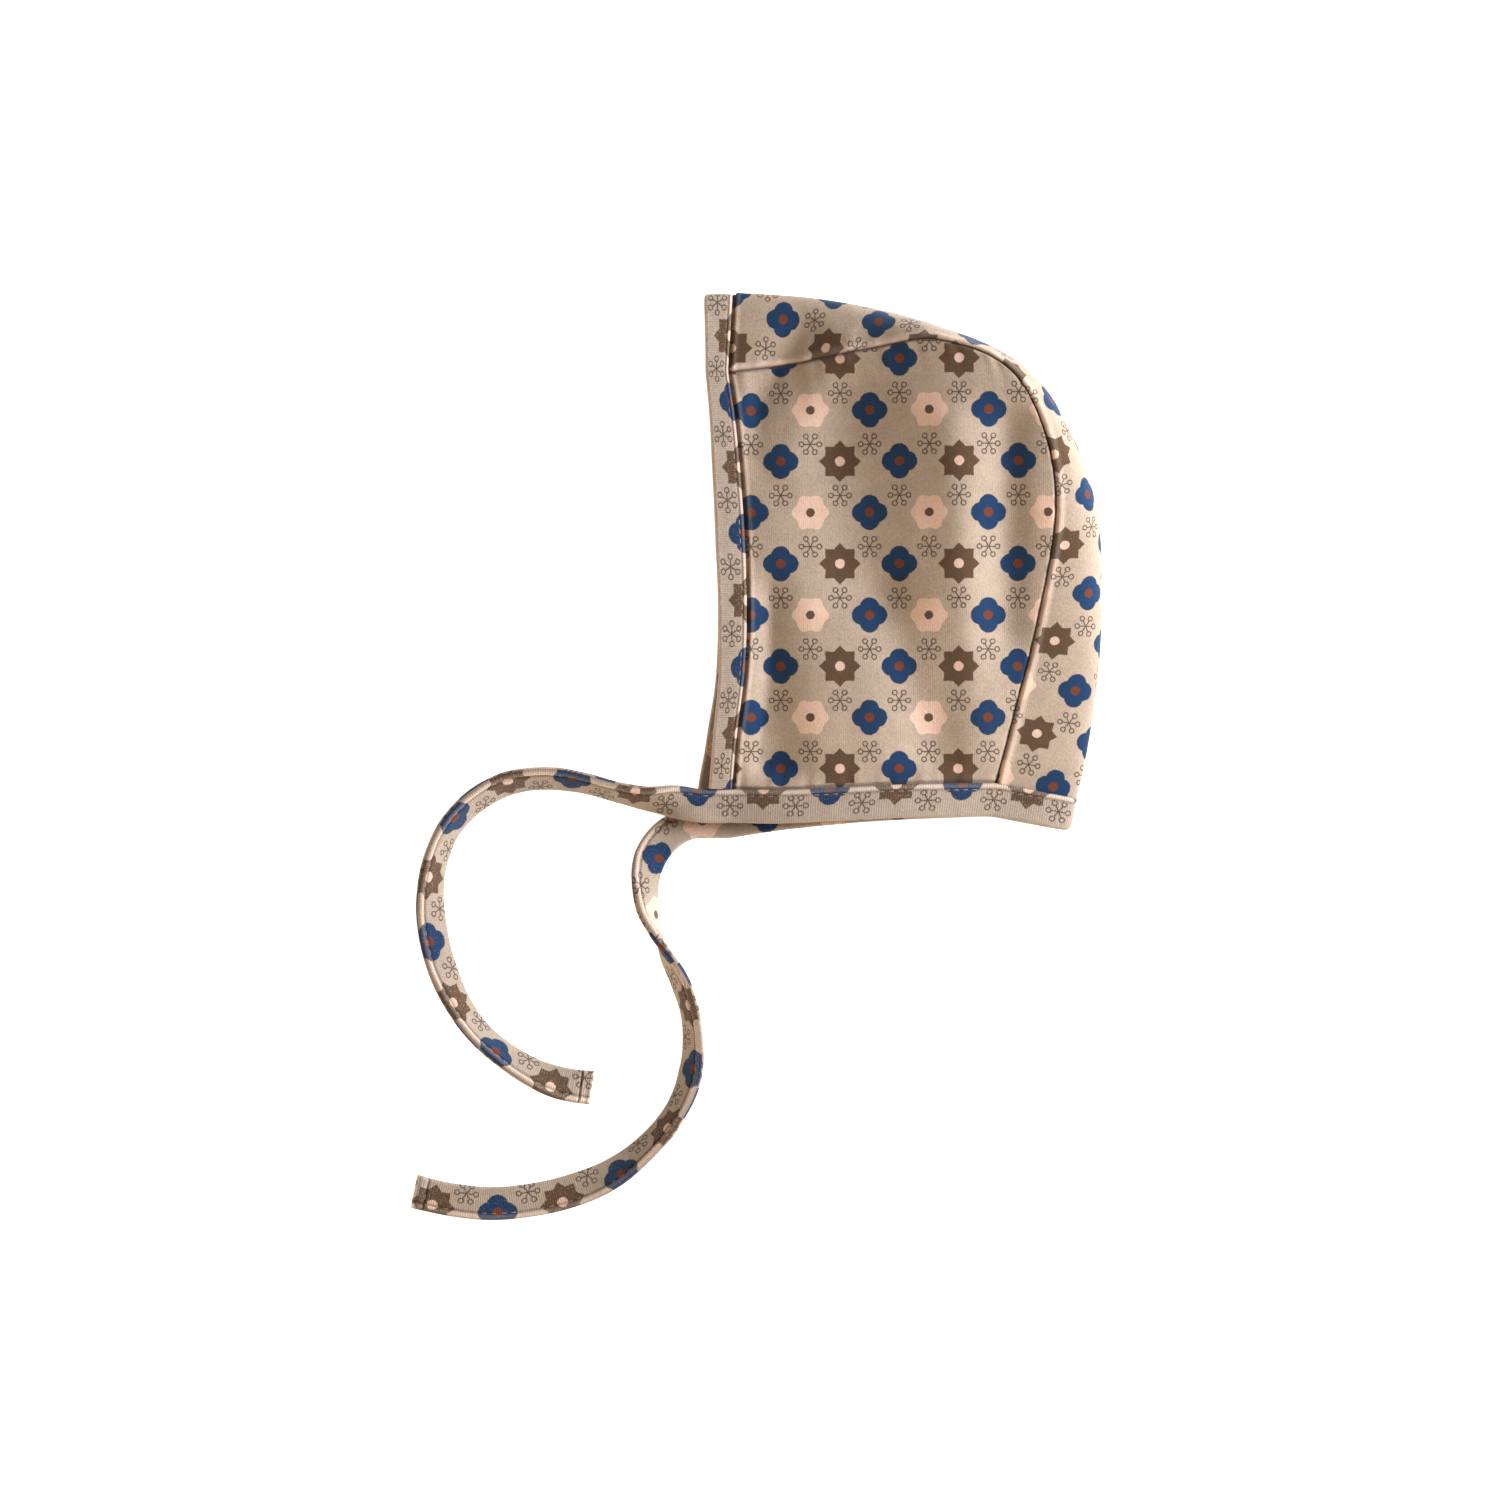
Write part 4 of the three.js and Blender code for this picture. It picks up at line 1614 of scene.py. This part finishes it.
@dataclass
class Gusset:
    """The gusset that is folded over the crown and down the back."""

    seams: Seams
    drape: Drape
    face_line: FaceSeamLook
    finishes: Finishes
    steps: int = 310
    turns: int = 80
    free_turn: float = 0.42
    seam: SeamLook = SeamLook(1.2 * MM, 0.45 * MM, 0.28 * MM, 8.5 * MM, 6 * MM)
    near_phase: float = 0.7
    far_phase: float = 2.9
    bead_place: float = 1.6 * MM
    bead_half_width: float = 1.2 * MM
    bead: float = 0.5 * MM
    # The bead's paleness is a painted highlight, and the seam line's darkness is painted shade.
    bead_painted_highlight: float = 0.36
    seam_painted_shade: float = 0.6
    broad_rise: float = 0.55 * MM
    broad_size: float = 26 * MM
    broad_seed: float = 2.6

    def _tone(self, around: np.ndarray, along: np.ndarray) -> np.ndarray:
        """Painted highlight on each seam's bead, and painted shade in its line.

        Args:
            around: Distances from the near seam.
            along: Distances from the face seam.

        Returns:
            The tone, less than 0 for darker.
        """
        tone = self.face_line.tone(along)
        for distance in (around, around[:, -1:] - around):
            tone += self.bead_painted_highlight * bell(distance - self.bead_place, self.bead_half_width)
            tone -= self.seam_painted_shade * bell(distance, self.seam.half_width)
        return tone

    def _depth(self, plain: Points, turn: np.ndarray) -> np.ndarray:
        """How far the cloth's outside lies below the plain fold, less than 0 where it stands proud.

        Args:
            plain: Points of the plain fold.
            turn: Shares of the turn from the near seam to the far one.

        Returns:
            The depth at each point.
        """
        around = travelled(plain, axis=1)
        from_far = around[:, -1:] - around
        along = travelled(plain, axis=0)
        depth = -self.drape.rise(plain) * smooth(1.0 - turn / self.free_turn)
        depth -= self.face_line.lip_relief(along)
        depth += self.seam.drop * bell(along, self.face_line.groove_half_width)
        for distance, start in ((around, self.near_phase), (from_far, self.far_phase)):
            depth -= self.seam.relief(distance, along, start)
            depth -= self.bead * bell(distance - self.bead_place, self.bead_half_width)
        middle = np.minimum(around, from_far) / (around[:, -1:] / 2.0)
        lie = lie_of_cloth(plain, self.broad_size, self.broad_seed)
        return depth - self.broad_rise * smooth(middle) * lie

    def make(self) -> None:
        """Make the gusset."""
        seams, form = self.seams, self.seams.form
        along, turn = crowded(self.steps), crowded(self.turns)
        plain = seams.gusset_points(along, turn, np.zeros((len(along), len(turn))))
        depth = self._depth(plain, turn)
        outer = seams.gusset_points(along, turn, depth)
        inner = seams.gusset_points(along, turn, depth + form.cloth)
        for face in (outer, inner):
            face[..., 2] = np.maximum(face[..., 2], FLOOR_CLEARANCE)
            face[0, :, 0] -= self.face_line.underlap
            face[-1, :, 1] -= self.face_line.underlap / 2.0
        around = travelled(plain, axis=1)
        length = travelled(seams.fold_line.at(along))
        middle = np.array([np.interp(0.5, turn, row) for row in around])
        grain = np.stack([around - middle[:, None], np.broadcast_to(-length[:, None], around.shape)], axis=-1)
        cloth = wall("gusset", outer, inner, grain, self._tone(around, travelled(plain, axis=0)))
        lay_sheet(cloth, self.finishes, ("printed_knit_gusset", "crown_gusset"))


@dataclass(frozen=True)
class BandWidth:
    """How wide the face band shows at a height, in shares of the bonnet's height and of its own width."""

    up: float
    near: float
    far: float


@dataclass
class Bands:
    """The bindings of the face and neck edges."""

    seams: Seams
    finishes: Finishes
    seam_gap: float = 0.15 * MM
    face_gap: float = 0.45 * MM
    step: float = 0.95 * MM
    seam_steps: int = 80
    turn_steps: int = 24
    face_smoothing: int = 6
    neck_smoothing: int = 3
    stretch: float = 1.13
    face_start: float = 3 * MM
    neck_start: float = 9 * MM
    face_widths: tuple[BandWidth, ...] = (
        BandWidth(-0.45, 0.76, 1.06),
        BandWidth(-0.4, 0.74, 1.02),
        BandWidth(-0.34, 0.74, 0.86),
        BandWidth(-0.245, 0.79, 0.8),
        BandWidth(-0.14, 0.88, 0.84),
        BandWidth(0.03, 0.95, 0.88),
        BandWidth(0.19, 0.88, 0.82),
        BandWidth(0.28, 0.8, 0.76),
        BandWidth(0.35, 0.71, 0.7),
        BandWidth(0.42, 0.8, 0.78),
        BandWidth(0.5, 0.93, 0.93),
    )
    width_smoothing: int = 20
    corner_draw: float = 0.26
    end_rise: float = -0.2
    end_calm: float = 8 * MM
    end_inset: float = 1.6 * MM
    unevenness: float = 0.05
    wave: float = 12 * MM
    wave_skew: float = 0.7
    straps: dict[str, Strap] = field(default_factory=dict)

    def _even(self, line: Points, smoothing: int) -> Points:
        """The line with even steps, its corners eased some times."""
        distance = travelled(line)
        wanted = np.linspace(0.0, distance[-1], round(distance[-1] / self.step) + 1)
        return evened(interpolated(wanted, distance, line), smoothing)

    def _stations(self, line: Points, free: Points) -> Stations:
        """Frames of a band along its seam.

        Args:
            line: Points of the seam.
            free: The way to the band's free edge at each of them.

        Returns:
            The frames of the band.
        """
        form = self.seams.form
        way = unit(np.gradient(line, axis=0))
        flat_out = unit(np.cross(way, free))
        nearness = (1.0 + flat_out[:, 2:]) / 2.0
        across = free.copy()
        across[:, 2:] = form.band_rise * nearness
        out = unit(np.cross(way, across))
        return Stations(line + out * form.band_proud * nearness, across, out)

    def _gusset_end(self, along: float) -> Points:
        """The edge of the gusset at one end, from its near seam round to its far one."""
        turns = shares(self.turn_steps)
        return self.seams.gusset_points(np.array([along]), turns, np.zeros((1, len(turns))))[0]

    def _face_line(self) -> Points:
        """The face band's seam: up the near side, round the brow and down the far side.

        Returns:
            Points along the seam, with even steps.
        """
        seams, share = self.seams, shares(self.seam_steps)
        brow = self._gusset_end(0.0)
        near, far = seams.near_face.at_length(share), seams.far_face.at_length(share)[::-1]
        return self._even(np.vstack([near, brow[1:-1], far]), self.face_smoothing)

    def _neck_line(self) -> Points:
        """The neck band's seam: along the far side, round the nape and back along the near side.

        Returns:
            Points along the seam, with even steps.
        """
        seams, form, share = self.seams, self.seams.form, shares(self.seam_steps)
        reach = form.face_band_width
        far_end = seams.far_corner - np.array([reach, 0.0, 0.0])
        near_end = seams.near_corner + np.array([-reach, 0.0, form.band_rise * reach * self.end_rise])
        nape = self._gusset_end(1.0)[::-1]
        near, far = seams.near_neck.at_length(share)[::-1], seams.far_neck.at_length(share)
        return self._even(np.vstack([far_end, far, nape[1:-1], near, near_end]), self.neck_smoothing)

    def _strap(self, name: str, node: str, strap: Strap, widths: np.ndarray, grain_start: float) -> None:
        """Make a band.

        Args:
            name: The name of the piece.
            node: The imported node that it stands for.
            strap: The band's section and frames.
            widths: Share of the band's width at each station.
            grain_start: Where the print starts along the band.
        """
        columns = strap.profile.columns()
        gone = strap.distance
        lie = unevenness(gone[:, None] + columns[None] * self.wave_skew, self.wave, grain_start / MM)
        free = smooth(np.minimum(gone, gone[-1] - gone) / self.end_calm)[:, None]
        thickness = 1.0 + self.unevenness * free * lie * np.sin(math.pi * columns / strap.profile.width)[None]
        along = grain_start + gone / self.stretch
        still = np.zeros(len(along))
        cloth = strap.cloth(name, thickness, widths, along, still, still)
        cloth.dress(self.finishes.binding)
        put_on(cloth.piece, "knit_binding", node)
        self.straps[name] = strap

    def face(self) -> None:
        """Make the face band."""
        line = self._face_line()
        free = np.tile([-1.0, 0.0, 0.0], (len(line), 1))
        stations = self._stations(line, free)
        form = self.seams.form
        # The face band's ridge and folded edge get painted highlight, and its stitched edge and stitch line
        # get painted shade.
        profile = StrapProfile(
            form.face_band_width - self.face_gap, form.band_thickness, ridge_place=0.8 * MM,
            ridge_half_width=0.7 * MM, ridge_rise=0.14 * MM, stitch_place=1.8 * MM, stitch_dip=0.24 * MM,
            pale=0.42, dark=0.18, fold_painted_highlight=0.28,
        )
        strap = Strap(profile, stations, self.face_gap, -form.band_thickness / 2.0)
        up = line[:, 1] / form.height
        heights = [place.up for place in self.face_widths]
        near = np.interp(up, heights, [place.near for place in self.face_widths])
        far = np.interp(up, heights, [place.far for place in self.face_widths])
        widths = evened(mixed(far, near, smooth((1.0 + stations.out[:, 2]) / 2.0)), self.width_smoothing)
        self._strap("face_binding", "face_band", strap, widths, self.face_start)

    def neck(self) -> None:
        """Make the neck band."""
        form = self.seams.form
        line = self._neck_line()
        share = np.clip(line[:, 0] / form.width + 0.5, 0.0, 1.0)
        free = np.column_stack([-form.nape_lean * share, -np.ones(len(line)), np.zeros(len(line))])
        stations = self._stations(line, free)
        profile = StrapProfile(form.neck_band_width - self.seam_gap, form.band_thickness)
        strap = Strap(profile, stations, self.seam_gap, -form.band_thickness / 2.0)
        widths = 1.0 - self.corner_draw / 2.0 * (1.0 - np.abs(stations.out[:, 2]))
        self._strap("neck_binding", "neck_band", strap, widths, self.neck_start)

    def near_end_grain(self) -> float:
        """Where the print is along the neck band at its near end."""
        return self.neck_start + float(self.straps["neck_binding"].distance[-1]) / self.stretch

    def stitches(self) -> None:
        """Sew both bands along their stitched edges."""
        for name, strap in self.straps.items():
            row = StitchRow(f"{name}_stitches", self.finishes.thread)
            for face in Face:
                row.sew(strap, face, self.end_inset, strap.distance[-1] - self.end_inset)
            put_on(row.join(), None)


@dataclass(frozen=True)
class TiePoint:
    """A point of a tie's route from where it leaves the band: sizes in metres and a roll in degrees."""

    left: float
    down: float
    lift: float
    roll: float


def route(*rows: tuple[float, float, float, float]) -> tuple[TiePoint, ...]:
    """A tie's route from rows in millimetres and degrees."""
    return tuple(TiePoint(left * MM, down * MM, lift * MM, roll) for left, down, lift, roll in rows)


@dataclass(frozen=True)
class PrintDrift:
    """How far the print slides across a tie at places along it."""

    places: tuple[float, ...]
    slides: tuple[float, ...]
    smoothing: int = 20

    def at(self, gone: np.ndarray) -> np.ndarray:
        """The slide at distances along the tie."""
        return evened(np.interp(gone, self.places, self.slides), self.smoothing)


@dataclass
class Ties:
    """The two ties, which are free ends of the neck band's binding."""

    seams: Seams
    finishes: Finishes
    bands: Bands
    width: float = 11.7 * MM
    thickness: float = 2.6 * MM
    blend: float = 14 * MM
    overlap: float = 0.4 * MM
    sink: float = 0.03 * MM
    ease_first: int = 3
    ease_last: int = 26
    ease_times: int = 14
    step: float = 0.9 * MM
    hem: float = 4.3 * MM
    hem_step: float = 0.28 * MM
    hem_swell: float = 0.16
    hem_dip: float = 0.4
    hem_line: float = 0.4 * MM
    hem_flare: float = 0.03
    # The hem line's darkness is painted shade where the cloth dips.
    hem_painted_shade: float = 0.4
    hem_pale: float = 0.2
    rim: float = 0.55 * MM
    rim_pale: float = 0.7
    rim_inside: float = 1.45 * MM
    rim_dark: float = 0.55
    end_round: float = 0.8 * MM
    end_steps: int = 5
    end_least: float = 0.06
    stitch_clearance: float = 5.59 * MM
    stretch: float = 1.085
    near_drift: PrintDrift = PrintDrift((0.0, 60 * MM), (0.0, 3 * MM))
    far_drift: PrintDrift = PrintDrift((0.0, 14 * MM, 42 * MM, 72 * MM), (0.0, 3 * MM, 3 * MM, -2.8 * MM))
    unevenness: float = 0.07
    wave: float = 14 * MM
    wave_skew: float = 0.5
    near_route: tuple[TiePoint, ...] = route(
        (4.2, -0.7, 5.8, -6), (11.2, -1.8, 3.3, -26), (18.2, -2.4, 0.9, -50), (28.7, -4.6, 0, -60),
        (39.2, -7.5, 0, -60), (49.7, -9.4, 0, -55), (60.2, -9.3, 0, -54), (70.4, -6.8, 0, -50),
        (80.5, -0.5, 0, -51), (88.7, 8.8, 0, -53), (93.5, 21, 0, -49), (94.9, 32.9, 0, -40),
        (93.8, 45.1, 0, -32), (90.7, 57.1, 0, -34), (85.4, 68.8, 0, -44), (78.4, 78.8, 0, -50),
        (68.8, 87.3, 0, -47), (58.6, 93.6, 0, -36), (49.4, 97.2, 0, -14), (38, 99.1, 0, 0),
    )
    far_route: tuple[TiePoint, ...] = route(
        (3.2, 0.7, 0, 0), (7.4, 2.5, 0, 0), (12.1, 5.9, 0, 0), (15.9, 10.9, 0, -8),
        (18, 17.2, 0, -28), (18.4, 24.2, 0, -46), (17.5, 31.2, 0, -57), (14.7, 39, 0, -78),
        (11, 47.3, 0, -104), (6.7, 55.7, 0, -116), (3.2, 65.6, 0, -116), (1.8, 76, 0, -120),
        (2.3, 86.3, 0, -127), (5, 96, 0, -127), (10.9, 106.3, 0, -127), (19.4, 115.6, 0, -133),
        (30.9, 124.1, 0, -150), (45, 129.9, 0, -172), (58.8, 133, 0, -180), (72.5, 134.2, 0, -180),
        (86.1, 132.9, 0, -180), (99.8, 130, 0, -180),
    )

    def _rest_height(self, roll: np.ndarray | float) -> np.ndarray:
        """Height of the tie's middle when it rests on the surface at a roll."""
        return np.abs(np.sin(roll)) * self.width / 2.0 + np.abs(np.cos(roll)) * self.thickness / 2.0

    def _band_end(self, index: int) -> tuple[Points, Points, Points]:
        """The middle of the neck band's end, and its ways across and out.

        Args:
            index: The end's station, the first or the last.

        Returns:
            The point and the two vectors.
        """
        form = self.seams.form
        frames = self.bands.straps["neck_binding"].stations
        across, out = frames.across[index], frames.out[index]
        middle = frames.points[index] + across * form.neck_band_width / 2.0 - out * form.band_thickness / 2.0
        return middle, across, out

    def _shares(self, path: SmoothLine) -> np.ndarray:
        """Shares of the path with even steps, and with closer ones at the hem.

        Args:
            path: The middle line of the tie.

        Returns:
            The shares.
        """
        length = path.lengths[-1]
        body = np.arange(0.0, length - 2.0 * self.hem, self.step)
        hem_steps = round(2.0 * self.hem / self.hem_step)
        hem = np.linspace(length - 2.0 * self.hem, length - self.end_round, hem_steps)
        end = length - self.end_round + self.end_round * np.sin(shares(self.end_steps) * math.pi / 2.0)
        wanted = np.concatenate([body, hem, end[1:]])
        return np.interp(wanted, path.lengths, path.even)

    def _stations(self, index: int, points: Sequence[TiePoint]) -> Stations:
        """Frames of a tie.

        Args:
            index: The neck band's station where the tie leaves it.
            points: The tie's route.

        Returns:
            The frames of the tie.
        """
        exit_point, band_across, band_out = self._band_end(index)
        places = ((exit_point[0] - p.left, exit_point[1] - p.down) for p in points)
        path = SmoothLine([exit_point[:2], *places])
        first_lift = (exit_point[2] - float(self._rest_height(0.0))) / MM
        pose = SmoothLine([(first_lift, 0.0), *((p.lift / MM, math.radians(p.roll)) for p in points)])
        share = self._shares(path)
        lift, roll = pose.at(share).T
        plan = path.at(share)
        lift = lift.clip(0.0) * MM
        centre = np.column_stack([plan, lift + self._rest_height(roll)])
        way = path.way(share)
        way[0] = (-1.0, 0.0)
        side = np.column_stack([-way[:, 1], way[:, 0], np.zeros(len(way))])
        up = np.array([0.0, 0.0, 1.0])
        across = side * np.cos(roll)[:, None] + up * np.sin(roll)[:, None]
        out = up * np.cos(roll)[:, None] - side * np.sin(roll)[:, None]
        facing = 1.0 if band_out[2] > 0.0 else -1.0
        near_band = (1.0 - smooth(travelled(centre) / self.blend))[:, None]
        across = unit(mixed(across, unit(band_across[None]), near_band))
        out = unit(mixed(out, band_out[None] * facing, near_band))
        inside = exit_point + np.array([self.overlap, 0.0, 0.0])
        across = self._eased(np.vstack([unit(band_across[None]), across]))
        out = self._eased(np.vstack([band_out[None] * facing, out]))
        return Stations(self._eased(np.vstack([inside, centre])), unit(across), unit(out))

    def _eased(self, rows: Points) -> Points:
        """Rows of vectors whose first stretch, where the tie leaves the band, is smoothed."""
        first, last = self.ease_first, self.ease_last
        return np.vstack([rows[:first], evened(rows[first:last], self.ease_times), rows[last:]])

    def _make(
        self, name: str, node: str, index: int, points: Sequence[TiePoint], grain_start: float,
        drift: PrintDrift,
    ) -> Strap:
        """Args:
            name: The name of the piece.
            node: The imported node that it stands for.
            index: The neck band's station where the tie leaves it, the first or the last.
            points: The tie's route.
            grain_start: Where the print is along the neck band at that end.
            drift: How the print slides across the tie.

        Returns:
            The tie's strap.
        """
        form, stations = self.seams.form, self._stations(index, points)
        profile = StrapProfile(self.width, self.thickness)
        strap = Strap(profile, stations, -self.width / 2.0, 0.0)
        gone, left = strap.distance, strap.distance[-1] - strap.distance
        free = smooth(gone / self.blend)
        columns = profile.columns()
        skewed = gone[:, None] + columns[None] * self.wave_skew
        lie = unevenness(skewed, self.wave, grain_start / MM) * free[:, None]
        swell = self.hem_swell * smooth((self.hem - left) / self.hem_line)
        line = bell(left - self.hem, self.hem_line)
        end = np.sqrt(1.0 - (1.0 - left / self.end_round).clip(0.0, 1.0) ** 2).clip(self.end_least)
        joined = mixed(form.band_thickness / self.thickness, 1.0, free)
        body = (joined + swell - self.hem_dip * line)[:, None]
        thickness = (body + self.unevenness * lie) * end[:, None]
        thickness[0] -= 2.0 * self.sink / self.thickness
        joined_width = (form.neck_band_width - self.bands.seam_gap) / self.width
        widths = mixed(joined_width, 1.0, free) + self.hem_flare * smooth((self.hem - left) / self.hem)
        widths[0] -= 2.0 * self.sink / self.width
        way = 1.0 if index else -1.0
        along = grain_start + way * (gone - self.overlap) / self.stretch
        # The end's tone: paler at the very tip and over the hem, darker in a line just inside the tip, and
        # painted shade in the hem's stitch line, where the cloth dips.
        end_tone = self.rim_pale * bell(left, self.rim)
        end_tone -= self.rim_dark * bell(left - self.rim_inside, self.rim)
        end_tone += self.hem_pale * smooth((self.hem - left) / self.hem_line) - self.hem_painted_shade * line
        cloth = strap.cloth(name, thickness, widths, along, drift.at(gone), end_tone, index == 0)
        cloth.dress(self.finishes.tie)
        put_on(cloth.piece, "knit_tie", node)
        return strap

    def make(self) -> None:
        """Make both ties and sew them."""
        bands = self.bands
        near = self._make(
            "near_tie_strap", "near_tie", -1, self.near_route, bands.near_end_grain(), self.near_drift
        )
        far = self._make("far_tie_strap", "far_tie", 0, self.far_route, bands.neck_start, self.far_drift)
        for name, strap in (("near_tie_stitches", near), ("far_tie_stitches", far)):
            row = StitchRow(name, self.finishes.thread)
            for face in Face:
                row.sew(strap, face, self.hem, strap.distance[-1] - self.stitch_clearance)
                row.sew_across(strap, face, strap.distance[-1] - self.hem)
            put_on(row.join(), None)


@dataclass(frozen=True)
class Lamp:
    """A round lamp that faces the origin."""

    name: str
    place: tuple[float, float, float]
    size: float
    power: float
    colour: tuple[float, float, float]

    def add(self) -> None:
        """Put the lamp in the scene."""
        data = bpy.data.lights.new(self.name, "AREA")
        data.shape = "DISK"
        data.size = self.size
        data.energy = self.power
        data.color = self.colour
        lamp = bpy.data.objects.new(self.name, data)
        lamp.location = self.place
        aim = Vector((0.0, 0.0, 0.0)) - Vector(self.place)
        lamp.rotation_euler = aim.to_track_quat("-Z", "Y").to_euler()
        bpy.context.scene.collection.objects.link(lamp)


COOL = (0.9, 0.95, 1.0)
WARM = (1.0, 0.85, 0.65)


@dataclass(frozen=True)
class Studio:
    """The camera, a pale floor, a key light from the right, two weak low lamps and soft light all round."""

    aim: tuple[float, float] = (-0.05005, -0.0672)
    distance: float = 4.0
    frame_width: float = 0.5292
    aim_height: float = 0.012
    sensor: float = 0.036
    floor_size: float = 14.0
    floor_drop: float = 0.1 * MM
    floor_glow: float = 0.85
    lamps: tuple[Lamp, ...] = (
        Lamp("key", (1.75, 0.4, 0.95), 1.0, 107.0, COOL),
        Lamp("side", (-0.8, -1.55, 0.42), 1.2, 20.0, WARM),
        Lamp("left", (-1.6, 0.1, 0.45), 1.0, 6.5, WARM),
    )
    fill_light: float = 0.17

    def camera(self) -> None:
        """Make a camera that looks straight down."""
        data = bpy.data.cameras.new("camera")
        data.sensor_width = self.sensor * 1000.0
        data.lens = data.sensor_width * (self.distance - self.aim_height) / self.frame_width
        camera = bpy.data.objects.new("camera", data)
        camera.location = (*self.aim, self.distance)
        bpy.context.scene.collection.objects.link(camera)
        bpy.context.scene.camera = camera

    def floor(self) -> None:
        """Make the floor, a wide pale sheet."""
        bpy.ops.object.select_all(action="DESELECT")
        bpy.ops.mesh.primitive_plane_add(size=self.floor_size, location=(0.0, 0.0, -self.floor_drop))
        floor = bpy.context.object
        floor.name = "floor"
        bpy.ops.object.transform_apply(location=True, rotation=True, scale=True)
        nodes = FinishNodes("pale_floor")
        shader = {
            "Base Color": dye(243, 242, 240),
            "Roughness": 0.9,
            "Specular IOR Level": 0.1,
            "Emission Color": (1.0, 1.0, 1.0, 1.0),
            "Emission Strength": self.floor_glow,
        }
        floor.data.materials.append(nodes.finish(shader))

    def light(self) -> None:
        """Add the lamps and the soft light all round."""
        for lamp in self.lamps:
            lamp.add()
        world = bpy.data.worlds.new("soft_light")
        world.use_nodes = True
        sky = world.node_tree.nodes["Background"]
        sky.inputs[0].default_value = (*WARM, 1.0)
        sky.inputs[1].default_value = self.fill_light
        bpy.context.scene.world = world
        bpy.context.scene.view_settings.view_transform = "Standard"


def main() -> None:
    """Build the bonnet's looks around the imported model."""
    logging.basicConfig(level=logging.INFO, format="%(name)s: %(message)s")
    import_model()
    studio = Studio()
    studio.camera()
    seams = Seams(BonnetForm())
    finishes = Finishes.made()
    drape, face_line = Drape(seams), FaceSeamLook()
    bands = Bands(seams, finishes)
    bands.neck()
    Ties(seams, finishes, bands).make()
    bands.face()
    bands.stitches()
    panels = Panels(seams, drape, face_line, finishes)
    panels.near()
    panels.far()
    Gusset(seams, drape, face_line, finishes).make()
    studio.floor()
    studio.light()


if __name__ == "__main__":
    main()
